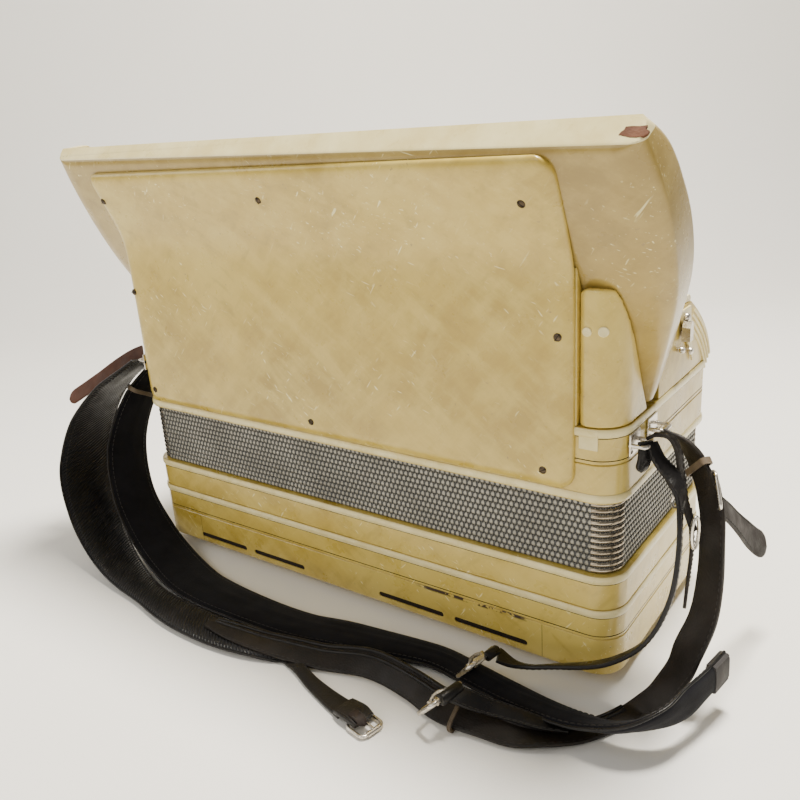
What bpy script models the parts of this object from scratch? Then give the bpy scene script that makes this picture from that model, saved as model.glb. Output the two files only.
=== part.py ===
"""Full-size piano accordion, resting on its bass end with the keyboard on top.

Metres. The origin is the middle of the flat bass end. +Z runs from the bass end to the
treble end, +X along the keyboard to its high-note end, and -Y is the side that faces the player.
The instrument stands 8 mm above the surface it rests on, on four feet, and its two
shoulder straps lie behind it on that surface.
"""

import math

import bmesh
import bpy
import numpy as np
from mathutils import Vector

GAP = 0.0004  # between solids that touch on the real instrument

# The case seen from above, and the levels where its sections meet.
CASE_X = 0.2350  # half length
CASE_Y = 0.0947  # half depth
CORNER = 0.0210
CORNER_STEPS = 4
WALL = 0.0060
BEAD = 0.0012  # how far a trim bead stands proud
BEAD_TALL = 0.0060
COVER_TOP = 0.0302
BASS_BOX_TOP = 0.0539
BASS_FRAME_TOP = 0.0803
TREBLE_FRAME_LOW = 0.1347
TREBLE_FRAME_TOP = 0.1620
TREBLE_BOX_TOP = 0.1871

# Bellows
FOLDS = 6
FOLD_DEPTH = 0.0040
BELLOWS_INSET = 0.0030
BELLOWS_THICK = 0.0150

# Bass end
FLOOR_Z = -0.0080  # the surface that the instrument stands on
PLATE = 0.0035
FOOT_XY = (0.205, 0.070)
FOOT_R = 0.0090
WELL_X = 0.1655  # half length of the button well
WELL_Y = (0.0115, 0.0785)
BOARD_Z = (0.0120, 0.0145)
ROWS = 6
ROW_PITCH = 0.0105
ROW_Y = 0.0188
BUTTONS = 20
BUTTON_PITCH = 0.0156
BUTTON_R = 0.0031
BUTTON_END_Z = -0.0015
ROW_SKEW = 0.0008
AIR_XY = (-0.205, 0.020)
AIR_STEM_R = 0.0025

# Keyboard bed: u runs up its leaning underside from BED_FOOT, n stands off it to the front.
BED_FOOT = (-0.0465, 0.1890)
BED_LEAN = math.radians(25.2)
BED_FLOOR = 0.0080
BED_RAIL_U = 0.1855
BED_END_U = (0.1890, 0.1979)
BED_END_N = (0.0130, 0.0185)  # the rail is narrower at the low-note end

# Keys: t runs along the key tops from KEY_START towards the player's hand, h stands off them.
KEY_START = (-0.0185, 0.2415)
KEY_LEAN = math.radians(33.2)
WHITE_PITCH = 0.0198
WHITE_WIDE = 0.0192
KEY_LONG = 0.1480
KEY_THICK = 0.0120
BLACK_LONG = 0.0930
BLACK_WIDE = 0.0100
BLACK_TALL = 0.0080
BLACK_SLOT = 0.0112
WHITE_AXLE = (-0.0300, -0.0060)
BLACK_AXLE = (-0.0085, 0.0052)
WHITE_AXLE_R = 0.0018
BLACK_AXLE_R = 0.0014
KEY_INNER_X = 0.2283  # the keys' hidden rear parts stay inside this
# White keys in each group, from the low end, and after which of them a black key comes.
OCTAVE_PARTS = (
    (4, (0, 1, 2)),
    (3, (0, 1)),
    (4, (0, 1, 2)),
    (3, (0, 1)),
    (4, (0, 1, 2)),
    (3, (0, 1)),
    (3, (0, 1)),
)
WHITE_PAD_Y = (0.0390, 0.0520)
BLACK_PAD_Y = (0.0640, 0.0765)
DECK_Z = (0.1785, 0.1838)

# Rear cover
COVER_X = (-0.2190, 0.2100)
COVER_Z = (0.1460, 0.3545)
COVER_RISE = 0.0180  # how much the top edge climbs for each metre towards the high notes
COVER_Y = -0.1010
COVER_THICK = 0.0025
COVER_RIM = 0.0046
COVER_CORNER = 0.0150

# Strap brackets, on both ends of the treble box
BRACKET_Z = 0.1742
BRACKET_REAR_Y = -0.0720
BRACKET_FRONT_Y = -0.0400

# Straps
PAD_THICK = 0.0075
LEATHER_THICK = 0.0036


def material(name, colour, rough, metal=0.0):
    """A Principled material in linear colour."""
    made = bpy.data.materials.new(name)
    made.use_nodes = True
    shader = made.node_tree.nodes["Principled BSDF"]
    shader.inputs["Base Color"].default_value = (*colour, 1.0)
    shader.inputs["Roughness"].default_value = rough
    shader.inputs["Metallic"].default_value = metal
    made.diffuse_color = (*colour, 1.0)
    return made


def empty_scene():
    for old in list(bpy.data.objects):
        bpy.data.objects.remove(old)
    for name in ("piano_accordion", "cutters"):
        collection = bpy.data.collections.new(name)
        bpy.context.scene.collection.children.link(collection)


empty_scene()
PARTS = bpy.data.collections["piano_accordion"]
CUTTERS = bpy.data.collections["cutters"]

PEARL = material("pearl_celluloid", (0.62, 0.53, 0.27), 0.25)
IVORY = material("ivory_celluloid", (0.80, 0.74, 0.50), 0.30)
WOOD = material("wood", (0.45, 0.27, 0.13), 0.55)
METAL = material("chrome", (0.75, 0.75, 0.75), 0.15, 1.0)
STEEL = material("steel", (0.55, 0.55, 0.56), 0.30, 1.0)
CLOTH = material("bellows_cloth", (0.25, 0.26, 0.26), 0.60)
VELVET = material("velvet", (0.012, 0.012, 0.014), 0.90)
LEATHER = material("leather", (0.030, 0.022, 0.020), 0.45)
WHITE_TOP = material("white_key_top", (0.86, 0.83, 0.74), 0.20)
BLACK_TOP = material("black_key_top", (0.01, 0.01, 0.01), 0.20)
RUBBER = material("rubber", (0.03, 0.03, 0.03), 0.80)


def place(bm, name, surface, smooth=False):
    """Puts a finished bmesh in the scene. Without a material it is a cutter."""
    bmesh.ops.recalc_face_normals(bm, faces=bm.faces)
    mesh = bpy.data.meshes.new(name)
    bm.to_mesh(mesh)
    bm.free()
    made = bpy.data.objects.new(name, mesh)
    if surface is None:
        CUTTERS.objects.link(made)
        made.hide_render = True
        made.display_type = "WIRE"
    else:
        PARTS.objects.link(made)
        mesh.materials.append(surface)
    if smooth:
        mesh.shade_smooth()
        mesh.set_sharp_from_angle(angle=math.radians(40))
    return made


def set_origin(obj, point):
    """Moves an object's origin and leaves its shape where it is."""
    shift = Vector(point) - obj.location
    for vertex in obj.data.vertices:
        vertex.co -= shift
    obj.location = point


def box(name, low, high, surface=None):
    bm = bmesh.new()
    bmesh.ops.create_cube(bm, size=1.0)
    for vertex in bm.verts:
        vertex.co = [(a + b) / 2 + c * (b - a) for a, b, c in zip(low, high, vertex.co)]
    return place(bm, name, surface)


def rod(name, start, end, radius, surface=None, steps=12):
    """A cylinder between two points."""
    along = Vector(end) - Vector(start)
    bm = bmesh.new()
    bmesh.ops.create_cone(bm, cap_ends=True, segments=steps, radius1=radius, radius2=radius, depth=along.length)
    bm.transform(along.to_track_quat("Z", "Y").to_matrix().to_4x4())
    bmesh.ops.translate(bm, vec=(Vector(start) + Vector(end)) / 2, verts=bm.verts)
    return place(bm, name, surface, smooth=surface is not None)


def turned(name, centre, profile, surface, steps=16):
    """A turned piece: the profile is (radius, height) from the top of its axis to the bottom."""
    mesh = bpy.data.meshes.new(name)
    points = [(radius, 0.0, height) for radius, height in profile]
    mesh.from_pydata(points, [(i, i + 1) for i in range(len(points) - 1)], [])
    made = bpy.data.objects.new(name, mesh)
    PARTS.objects.link(made)
    mesh.materials.append(surface)
    made.location = (*centre, 0.0)
    screw = made.modifiers.new("turn", "SCREW")
    screw.steps = screw.render_steps = steps
    screw.use_merge_vertices = True
    screw.merge_threshold = 0.00005
    return made


def prism(name, axis, outline, low, high, surface=None):
    """A flat outline stretched along one axis. Its points are the other two coordinates, in order."""
    others = [i for i in range(3) if i != axis]
    bm = bmesh.new()
    corners = []
    for pair in outline:
        point = [low, low, low]
        for i, value in zip(others, pair):
            point[i] = value
        corners.append(bm.verts.new(point))
    face = bm.faces.new(corners)
    grown = bmesh.ops.extrude_face_region(bm, geom=[face])
    moved = [item for item in grown["geom"] if isinstance(item, bmesh.types.BMVert)]
    step = [0.0, 0.0, 0.0]
    step[axis] = high - low
    bmesh.ops.translate(bm, vec=step, verts=moved)
    return place(bm, name, surface)


def loft(name, rings, surface, closed=False, smooth=True):
    """Joins rings with the same number of points, in order. A closed loft joins the last to the first."""
    bm = bmesh.new()
    rows = [[bm.verts.new(point) for point in ring] for ring in rings]
    count = len(rows[0])
    for k in range(len(rows) if closed else len(rows) - 1):
        near, far = rows[k], rows[(k + 1) % len(rows)]
        for i in range(count):
            j = (i + 1) % count
            bm.faces.new((near[i], near[j], far[j], far[i]))
    if not closed:
        bm.faces.new(rows[0][::-1])
        bm.faces.new(rows[-1])
    return place(bm, name, surface, smooth)


def combine(obj, cutter, operation="DIFFERENCE"):
    modifier = obj.modifiers.new(cutter.name, "BOOLEAN")
    modifier.operation = operation
    modifier.object = cutter
    return obj


def case_outline(offset, z):
    """The case's rounded outline, grown outwards by offset."""
    radius = CORNER + offset
    points = []
    for quarter, (sx, sy) in enumerate(((1, 1), (-1, 1), (-1, -1), (1, -1))):
        for k in range(CORNER_STEPS + 1):
            angle = math.pi / 2 * (quarter + k / CORNER_STEPS)
            x = sx * (CASE_X - CORNER) + radius * math.cos(angle)
            y = sy * (CASE_Y - CORNER) + radius * math.sin(angle)
            points.append((x, y, z))
    return points


def case_ring(name, profile, surface):
    """A frame that goes all round the case, from its section as (offset, height) points."""
    return loft(name, [case_outline(*point) for point in profile], surface, closed=True)


def bead(top):
    """The section points of a half-round trim bead, from its lower edge up."""
    low = top - BEAD_TALL
    return [(0.0, low), (BEAD, low + 0.0015), (BEAD, top - 0.0015), (0.0, top)]


def frame_with_bead(name, low, top, surface, bead_top=None):
    """A four-sided wooden frame with one bead, at its top edge unless another height is given."""
    section = [(-WALL, top), (-WALL, low), (0.0, low)]
    if bead_top is None:
        section += bead(top)
    else:
        section += bead(bead_top)[1:] + [(0.0, top)]
    return case_ring(name, section, surface)


# ---------------------------------------------------------------- bass end


def bass_cover():
    """The pan that closes the bass end, with sound slots at the rear and a well for the buttons."""
    rings = [
        case_outline(-0.0040, 0.0),
        case_outline(-0.0012, 0.0012),
        case_outline(0.0, 0.0040),
        case_outline(0.0, COVER_TOP),
        case_outline(-0.0040, COVER_TOP),
        case_outline(-0.0040, PLATE),
    ]
    cover = loft("bass_cover", rings, PEARL)
    for i, (left, right) in enumerate(((-0.181, -0.121), (-0.111, -0.050), (0.032, 0.095), (0.105, 0.168))):
        combine(cover, box(f"sound_slot_{i}", (left, -0.105, 0.0072), (right, -0.085, 0.0120)))
    combine(cover, box("button_well", (-WELL_X, WELL_Y[0], -0.01), (WELL_X, WELL_Y[1], 0.01)))
    hole = rod("air_hole", (*AIR_XY, -0.01), (*AIR_XY, 0.01), AIR_STEM_R + 0.0006)
    combine(cover, hole)


def feet():
    top, low = -GAP, FLOOR_Z
    for side_y, row in ((-1, "rear"), (1, "front")):
        for side_x, column in ((-1, "left"), (1, "right")):
            centre = (side_x * FOOT_XY[0], side_y * FOOT_XY[1])
            profile = ((0.0, top), (FOOT_R, top), (FOOT_R, low + 0.002), (FOOT_R - 0.002, low), (0.0, low))
            turned(f"foot_{row}_{column}", centre, profile, RUBBER, steps=14)


def bass_inside():
    """The bass box's inner plate and the two blocks of reeds that stand on it."""
    inset = -WALL - GAP
    low, top = COVER_TOP + 0.0012, COVER_TOP + 0.0062
    plate = loft("bass_foundation_plate", [case_outline(inset, low), case_outline(inset, top)], WOOD)
    combine(plate, rod("air_port", (*AIR_XY, 0.02), (*AIR_XY, 0.05), 0.0070))
    for name, y in (("rear", -0.045), ("front", 0.035)):
        for i, x in enumerate((-0.09, 0.02, 0.13)):
            combine(plate, box(f"bass_port_{name}_{i}", (x - 0.045, y - 0.004, 0.02), (x + 0.045, y + 0.004, 0.05)))
        outline = ((y - 0.018, top + GAP), (y + 0.018, top + GAP), (y + 0.011, 0.0860), (y - 0.011, 0.0860))
        prism(f"bass_reed_block_{name}", 0, outline, -0.165, 0.205, WOOD)


def bass_button_board():
    low = (-WELL_X - 0.006, WELL_Y[0] - 0.006, PLATE + GAP)
    high = (WELL_X + 0.006, WELL_Y[1] + 0.006, BOARD_Z[1])
    board = box("bass_button_board", low, high, IVORY)
    combine(board, box("board_well", (-WELL_X, WELL_Y[0], 0.0), (WELL_X, WELL_Y[1], BOARD_Z[0])))
    for row in range(ROWS):
        y = ROW_Y + row * ROW_PITCH
        reach = BUTTONS * BUTTON_PITCH / 2 + 0.001
        combine(board, box(f"board_slot_{row}", (-reach, y - 0.0037, 0.01), (reach, y + 0.0037, 0.02)))


def bass_button_rows():
    """Each row of twenty buttons stands on one rail behind the board."""
    low, top = BOARD_Z[1] + 0.0010, BOARD_Z[1] + 0.0036
    for row in range(ROWS):
        y = ROW_Y + row * ROW_PITCH
        skew = (row - (ROWS - 1) / 2) * ROW_SKEW
        half = BUTTONS * BUTTON_PITCH / 2 - 0.001
        rail = box(f"bass_button_row_{row + 1}", (-half, y - 0.0033, low), (half, y + 0.0033, top), IVORY)
        bm = bmesh.new()
        for i in range(BUTTONS):
            x = (i - (BUTTONS - 1) / 2) * BUTTON_PITCH * 0.985 + skew
            made = bmesh.ops.create_cone(
                bm, cap_ends=True, segments=6, radius1=BUTTON_R, radius2=BUTTON_R, depth=low + 0.001 - BUTTON_END_Z
            )
            bmesh.ops.translate(bm, vec=(x, y, (low + 0.001 + BUTTON_END_Z) / 2), verts=made["verts"])
        combine(rail, place(bm, f"row_{row + 1}_buttons", None), "UNION")


def air_button():
    """A push rod: the button under the bass end lifts a felted valve off its port inside."""
    stem, port = AIR_STEM_R, COVER_TOP + 0.0062 + GAP
    profile = (
        (0.0, port + 0.0040),
        (0.0105, port + 0.0040),
        (0.0105, port),
        (stem, port),
        (stem, -0.0043),
        (0.0065, -0.0043),
        (0.0065, -0.0060),
        (0.0052, -0.0070),
        (0.0, -0.0070),
    )
    turned("air_button", AIR_XY, profile, METAL)


def bellows():
    """Folded cloth between the two frames, closed."""
    low, top = BASS_FRAME_TOP + GAP, TREBLE_FRAME_LOW - GAP
    section = [(-BELLOWS_THICK, top), (-BELLOWS_THICK, low), (-BELLOWS_INSET - FOLD_DEPTH, low)]
    for fold in range(FOLDS):
        for step, depth in ((0.5, 0.0), (1.0, FOLD_DEPTH)):
            section.append((-BELLOWS_INSET - depth, low + (top - low) * (fold + step) / FOLDS))
    case_ring("bellows", section, CLOTH)


# -------------------------------------------------------------- treble side


def bed_point(u, n):
    """(y, z) of a point of the keyboard bed."""
    y = BED_FOOT[0] - u * math.sin(BED_LEAN) + n * math.cos(BED_LEAN)
    z = BED_FOOT[1] + u * math.cos(BED_LEAN) + n * math.sin(BED_LEAN)
    return y, z


def key_point(t, h):
    """(y, z) of a point of the keys."""
    y = KEY_START[0] - t * math.sin(KEY_LEAN) + h * math.cos(KEY_LEAN)
    z = KEY_START[1] + t * math.cos(KEY_LEAN) + h * math.sin(KEY_LEAN)
    return y, z


def treble_inside():
    """The pallet board that the keys' pads close, and the reed blocks that hang under it."""
    inset = -WALL - GAP
    plate = loft("treble_foundation_plate", [case_outline(inset, z) for z in DECK_Z], WOOD)
    left = -WHITE_PITCH * 12
    for group, (whites, _) in enumerate(OCTAVE_PARTS):
        right = left + whites * WHITE_PITCH
        x_low, x_high = max(left, -KEY_INNER_X) + 0.006, min(right, KEY_INNER_X) - 0.006
        for name, (y_low, y_high) in (("white", WHITE_PAD_Y), ("black", BLACK_PAD_Y)):
            port = ((x_low, y_low + 0.002, 0.17), (x_high, y_high - 0.002, 0.19))
            combine(plate, box(f"{name}_port_{group}", *port))
        left = right
    for name, y in (("rear", -0.030), ("front", 0.058)):
        outline = ((y - 0.018, DECK_Z[0] - GAP), (y + 0.018, DECK_Z[0] - GAP), (y + 0.010, 0.1000), (y - 0.010, 0.1000))
        prism(f"treble_reed_block_{name}", 0, outline, -0.205, 0.205, WOOD)


def rounded_top(left, right, low, top, radius_left, radius_right):
    """An outline in x and z with its two upper corners rounded."""
    points = [(left, low), (right, low)]
    for centre, radius, start in ((right - radius_right, radius_right, 0.0), (left + radius_left, radius_left, 90.0)):
        for k in range(7):
            angle = math.radians(start + 15 * k)
            points.append((centre + radius * math.cos(angle), top - radius + radius * math.sin(angle)))
    return points


def treble_back_frame():
    """The wedge between the rear cover and the keyboard bed, with the rounded shoulder at its end."""
    low = TREBLE_BOX_TOP + GAP
    apex = 0.2898
    slope = math.tan(BED_LEAN)

    def under_bed(z, off):
        return BED_FOOT[0] - slope * (z - BED_FOOT[1]) - off

    wedge = ((-CASE_Y, low), (under_bed(low, 2 * GAP), low), (under_bed(apex, 2 * GAP), apex), (-CASE_Y, apex - 0.002))
    frame = prism("treble_back_frame", 0, wedge, -0.2130, 0.2060, PEARL)
    inner = ((-0.11, low + 0.006), (under_bed(low, 0.009), low + 0.006), (under_bed(0.272, 0.009), 0.272), (-0.11, 0.272))
    combine(frame, prism("back_frame_hollow", 0, inner, -0.205, 0.198))
    proud = 0.0003  # keeps the shoulder's faces off the frame's
    corner = [(0.2040, -CASE_Y - proud)]
    for k in range(7):
        angle = math.radians(-90 + 15 * k)
        x = CASE_X - CORNER + CORNER * math.cos(angle)
        y = -CASE_Y - proud + CORNER + CORNER * math.sin(angle)
        corner.append((x, y))
    corner += [(CASE_X, -0.040), (0.2040, -0.040)]
    shoulder = prism("shoulder", 2, corner, low + proud, 0.30)
    top = rounded_top(0.2040, 0.2400, low - 0.01, 0.2770, 0.008, 0.016)
    combine(shoulder, prism("shoulder_top", 1, top, -0.12, -0.01), "INTERSECT")
    off = 2 * GAP + proud
    beyond = ((-0.2, low - 0.01), (under_bed(low - 0.01, off), low - 0.01), (under_bed(0.33, off), 0.33), (-0.2, 0.33))
    combine(shoulder, prism("shoulder_under_bed", 0, beyond, 0.1, 0.3), "INTERSECT")
    combine(frame, shoulder, "UNION")


def cover_face(z):
    """The rear cover's outer surface: flat, then flaring back along the leaning bed."""
    flat = -COVER_Y
    lean = -BED_FOOT[0] + math.tan(BED_LEAN) * (z - BED_FOOT[1]) + 0.0058
    return -0.5 * (flat + lean + math.hypot(flat - lean, 0.006))


def rear_cover():
    """A pillow-edged panel on a grid whose outer points follow the rounded outline."""
    tall = COVER_Z[1] - COVER_Z[0]
    ends = np.array((0.0, 0.0020, 0.0060, 0.0110, 0.0160))
    steps_z = np.concatenate([ends, np.linspace(0.035, tall - 0.035, 6), tall - ends[::-1]])
    edge = (0.0, 0.0020, 0.0060)

    def rise(distance):
        """How far out the surface stands at a distance from the edge."""
        share = min(distance / edge[-1], 1.0)
        return COVER_RIM * math.sqrt(1 - (1 - share) ** 2)

    bm = bmesh.new()
    rows = []
    for dz in steps_z:
        from_end = min(dz, steps_z[-1] - dz)
        cut = 0.0
        if from_end < COVER_CORNER:
            cut = COVER_CORNER - math.sqrt(COVER_CORNER**2 - (COVER_CORNER - from_end) ** 2)
        left, right = COVER_X[0] + cut, COVER_X[1] - cut
        inner = np.linspace(left + 0.012, right - 0.012, 6)
        xs = [left + e for e in edge] + list(inner) + [right - e for e in reversed(edge)]
        row = []
        for x in xs:
            z = COVER_Z[0] + dz * (1 + COVER_RISE * x / tall)
            out = rise(min(from_end, x - left, right - x))
            row.append(((x, cover_face(z) + COVER_RIM - out, z), out))
        rows.append(row)
    outer = [[bm.verts.new(point) for point, _ in row] for row in rows]
    inner = []
    for row in rows:
        line = []
        for (x, y, z), out in row:
            back = max(cover_face(z) + COVER_THICK, y + COVER_THICK * min(1.0, out / COVER_RIM))
            line.append(bm.verts.new((x, min(back, cover_face(z) + COVER_RIM), z)) if out else None)
        inner.append(line)
    for j, line in enumerate(inner):
        for i, vertex in enumerate(line):
            if vertex is None:
                line[i] = outer[j][i]
    for side in (outer, inner):
        for j in range(len(side) - 1):
            for i in range(len(side[0]) - 1):
                loop = (side[j][i], side[j][i + 1], side[j + 1][i + 1], side[j + 1][i])
                if len(set(loop)) == 4 and not (side is inner and all(v in outer[j] + outer[j + 1] for v in loop)):
                    bm.faces.new(loop)
    place(bm, "rear_cover", PEARL, smooth=True)


def smooth_through(knots, values, at):
    """A smooth curve through the values, by piecewise cubics."""
    values = np.array(values, float)
    slopes = np.gradient(values, knots, axis=0)
    i = min(max(np.searchsorted(knots, at) - 1, 0), len(knots) - 2)
    width = knots[i + 1] - knots[i]
    s = (at - knots[i]) / width
    a = (1 + 2 * s) * (1 - s) ** 2 * values[i] + s * (1 - s) ** 2 * width * slopes[i]
    b = s * s * (3 - 2 * s) * values[i + 1] + s * s * (s - 1) * width * slopes[i + 1]
    return a + b


def keyboard_bed():
    """A leaning tray: a floor, an end cheek on each side that bulges outwards, and an outer rail."""
    outer_u = (0.0, 0.0508, 0.0895, 0.1249, 0.1702, 0.1979)
    outer_x = (0.2355, 0.2515, 0.2615, 0.2640, 0.2600, 0.2540)
    cheek_u = (0.0, 0.0492, 0.0955, 0.1457, 0.1818, 0.1979)
    cheek_n = (0.0220, 0.0387, 0.0436, 0.0403, 0.0319, 0.0200)
    rise = (BED_END_U[1] - BED_END_U[0]) / BED_END_N[1]
    rings = []
    for u in (0.0, 0.012, 0.026, 0.042, 0.060, 0.080, 0.105, 0.130, 0.155, 0.172, 0.1835, BED_RAIL_U, None):
        level = BED_END_U[1] if u is None else u
        xo = float(smooth_through(outer_u, outer_x, level))
        nf = float(smooth_through(cheek_u, cheek_n, level))
        rail = u is None or u >= BED_RAIL_U
        xi = min(0.2384, xo - 0.0035)
        r = 0.0075
        half = [(xo - r, 0.0), (xo - 0.35 * r, 0.12 * r), (xo, 0.45 * r), (xo, nf - r)]
        half += [(xo - 0.3 * r, nf - 0.3 * r), (max(xo - r, xi + 0.001), nf), (xi, nf - 0.001)]
        half.append((xi, BED_FLOOR))
        section = half + [(-x, n) for x, n in reversed(half)]
        ring = []
        for k, (x, n) in enumerate(section):
            edge = BED_END_N[0] + (BED_END_N[1] - BED_END_N[0]) * (x / CASE_X + 1) / 2
            if rail and k in (len(half) - 1, len(half)):
                n = edge
            if u is None:
                n = min(n, edge)
                if k in (len(half) - 2, len(half) + 1):
                    n = edge - 0.0001
                level = BED_END_U[0] + rise * n
            ring.append((x, *bed_point(level, n)))
        rings.append(ring)
    loft("keyboard_bed", rings, PEARL)


def key_axles():
    for name, axle, radius in (("white_key_axle", WHITE_AXLE, WHITE_AXLE_R), ("black_key_axle", BLACK_AXLE, BLACK_AXLE_R)):
        y, z = key_point(*axle)
        rod(name, (-0.2318, y, z), (0.2318, y, z), radius, STEEL, steps=10)


def along_keys(name, outline, low, high, surface=None):
    """Stretches an outline in x and t from h = low to h = high."""
    rings = [[(x, *key_point(t, h)) for x, t in outline] for h in (low, high)]
    return loft(name, rings, surface, smooth=False)


def thick_line(start, end, thickness):
    """The outline of a straight bar in y and z."""
    dy, dz = end[0] - start[0], end[1] - start[1]
    long = math.hypot(dy, dz)
    ny, nz = -dz / long * thickness / 2, dy / long * thickness / 2
    return (
        (start[0] + ny, start[1] + nz),
        (end[0] + ny, end[1] + nz),
        (end[0] - ny, end[1] - nz),
        (start[0] - ny, start[1] - nz),
    )


def white_keys(group, left, whites, blacks):
    """One part-octave of white keys, cut as a comb and joined under the register panel."""
    rear, rail = -0.0370, -0.0220
    right = left + whites * WHITE_PITCH
    x_low, x_high = max(left, -KEY_INNER_X) + 0.0003, min(right, KEY_INNER_X) - 0.0003
    outline = [(x_low, rear), (x_high, rear), (x_high, rail)]
    for i in reversed(range(whites)):
        x = left + i * WHITE_PITCH
        gap = (WHITE_PITCH - WHITE_WIDE) / 2
        half_slot = BLACK_SLOT / 2
        sides = [(x + WHITE_PITCH - gap, i in blacks, -1), (x + gap, i - 1 in blacks, 1)]
        outer = []
        for edge, beside_black, inward in sides:
            line = x + (WHITE_PITCH if inward < 0 else 0)
            stem = line + inward * half_slot if beside_black else line + inward * 0.0055
            stem = max(min(stem, x_high), x_low)
            if beside_black:
                outer.append([(stem, rail), (stem, BLACK_LONG + 0.002), (edge, BLACK_LONG + 0.002), (edge, KEY_LONG)])
            else:
                outer.append([(stem, rail), (stem, 0.0), (edge, 0.0), (edge, KEY_LONG)])
        outline += outer[0] + outer[1][::-1]
    outline.append((x_low, rail))
    tidy = [point for k, point in enumerate(outline) if point != outline[k - 1]]
    keys = along_keys(f"white_keys_{group}", tidy, -KEY_THICK, 0.0, WHITE_TOP)
    hub = key_point(WHITE_AXLE[0] - 0.004, WHITE_AXLE[1])
    lever = prism(f"white_lever_{group}", 0, thick_line(hub, (0.0400, 0.1935), 0.0030), x_low, x_high)
    pad = box(f"white_pad_{group}", (x_low, WHITE_PAD_Y[0], DECK_Z[1] + GAP), (x_high, WHITE_PAD_Y[1], 0.1945))
    combine(keys, lever, "UNION")
    combine(keys, pad, "UNION")
    y, z = key_point(*WHITE_AXLE)
    combine(keys, rod(f"white_hole_{group}", (-0.3, y, z), (0.3, y, z), WHITE_AXLE_R + 0.0005, steps=10))
    set_origin(keys, (0.0, y, z))


def black_keys(group, left, whites, blacks):
    """One part-octave of black keys, joined by a rail over the white keys' stems."""
    rail = (-0.0140, -0.0030)
    x_low = max(left, -KEY_INNER_X) + 0.0003
    x_high = min(left + whites * WHITE_PITCH, KEY_INNER_X) - 0.0003
    low, top = 0.0015, BLACK_TALL + 0.0010
    bar = [(x_low, rail[0]), (x_high, rail[0]), (x_high, rail[1]), (x_low, rail[1])]
    keys = along_keys(f"black_keys_{group}", bar, low, top, BLACK_TOP)
    for i in blacks:
        x = left + (i + 1) * WHITE_PITCH
        half = BLACK_WIDE / 2
        side = ((rail[1] - 0.001, -0.008), (rail[1] - 0.001, BLACK_TALL - 0.0005))
        side += ((BLACK_LONG - 0.010, BLACK_TALL), (BLACK_LONG - 0.002, BLACK_TALL - 0.003), (BLACK_LONG, -0.008))
        rings = []
        for edge, inset in ((x - half, 0.0), (x + half, 0.0)):
            rings.append([(edge + inset, *key_point(t, h)) for t, h in side])
        finger = loft(f"black_finger_{group}_{i}", rings, None, smooth=False)
        combine(keys, finger, "UNION")
    start = key_point(BLACK_AXLE[0] - 0.0045, BLACK_AXLE[1])
    lever = prism(f"black_lever_{group}", 0, thick_line(start, (0.0670, 0.2000), 0.0026), x_low, x_high)
    pad = box(f"black_pad_{group}", (x_low, BLACK_PAD_Y[0], DECK_Z[1] + GAP), (x_high, BLACK_PAD_Y[1], 0.2005))
    combine(keys, lever, "UNION")
    combine(keys, pad, "UNION")
    y, z = key_point(*BLACK_AXLE)
    combine(keys, rod(f"black_hole_{group}", (-0.3, y, z), (0.3, y, z), BLACK_AXLE_R + 0.0005, steps=10))
    set_origin(keys, (0.0, y, z))


def keyboard():
    left = -WHITE_PITCH * 12
    for group, (whites, blacks) in enumerate(OCTAVE_PARTS, start=1):
        white_keys(group, left, whites, blacks)
        black_keys(group, left, whites, blacks)
        left += whites * WHITE_PITCH


def bezier(points, steps):
    """Points along a cubic Bezier curve."""
    made = []
    for k in range(steps + 1):
        s = k / steps
        weights = ((1 - s) ** 3, 3 * s * (1 - s) ** 2, 3 * s * s * (1 - s), s**3)
        made.append(tuple(sum(w * p[axis] for w, p in zip(weights, points)) for axis in (0, 1)))
    return made


def grille():
    """The domed cover over the pads, with its two ends closed, and louvres for the sound."""
    low, top = TREBLE_BOX_TOP + GAP, 0.2425
    dome = bezier(((0.0925, low), (0.0880, 0.2085), (0.0620, 0.2285), (0.0365, top)), 9)
    outer = dome + [(-0.0148, 0.2420), (-0.0255, 0.2350), (-0.0255, low)]
    shell = prism("grille", 0, outer, -CASE_X, CASE_X, PEARL)
    inner = bezier(((0.0900, low - 0.004), (0.0858, 0.2068), (0.0610, 0.2262), (0.0360, 0.2399)), 9)
    inner += [(0.0360, 0.26), (-0.04, 0.26), (-0.04, low - 0.004)]
    combine(shell, prism("grille_hollow", 0, inner, -0.2322, 0.2322))
    for row, (y, z, tilt) in enumerate(((0.0555, 0.2330, 27.0), (0.0690, 0.2235, 38.0), (0.0800, 0.2100, 55.0))):
        for column in range(4):
            x = -0.165 + 0.110 * column
            cutter = box(f"louvre_{row}_{column}", (-0.044, -0.0022, -0.010), (0.044, 0.0022, 0.010))
            cutter.rotation_euler = (-math.radians(tilt), 0.0, 0.0)
            cutter.location = (x, y, z)
            combine(shell, cutter)


def grille_trim():
    """Chrome plates on the grille's ends, and the flat panel between the grille and the keys."""
    triangle = ((0.0080, 0.2405), (0.0405, 0.1970), (0.0310, 0.2405))
    for name, low in (("left", -CASE_X - 0.0019), ("right", CASE_X + GAP)):
        prism(f"grille_end_plate_{name}", 0, triangle, low, low + 0.0015, METAL)
    panel = ((-0.0095, 0.2452), (0.0335, 0.2429), (0.0365, 0.2429), (0.0365, 0.2455), (0.0340, 0.2475), (-0.0095, 0.2475))
    prism("register_panel", 0, panel, -0.2345, 0.2345, IVORY)


def treble_shift_lever():
    """The small chrome lever on the right end plate, which changes the reeds in use."""
    low = CASE_X + 0.0023
    outline = ((0.0110, 0.2190), (0.0180, 0.2190), (0.0180, 0.2290), (0.0160, 0.2330), (0.0130, 0.2330), (0.0110, 0.2290))
    lever = prism("treble_shift_lever", 0, outline, low, low + 0.0060, METAL)
    set_origin(lever, (low, 0.0145, 0.2220))


# ------------------------------------------------------------------- straps


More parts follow.
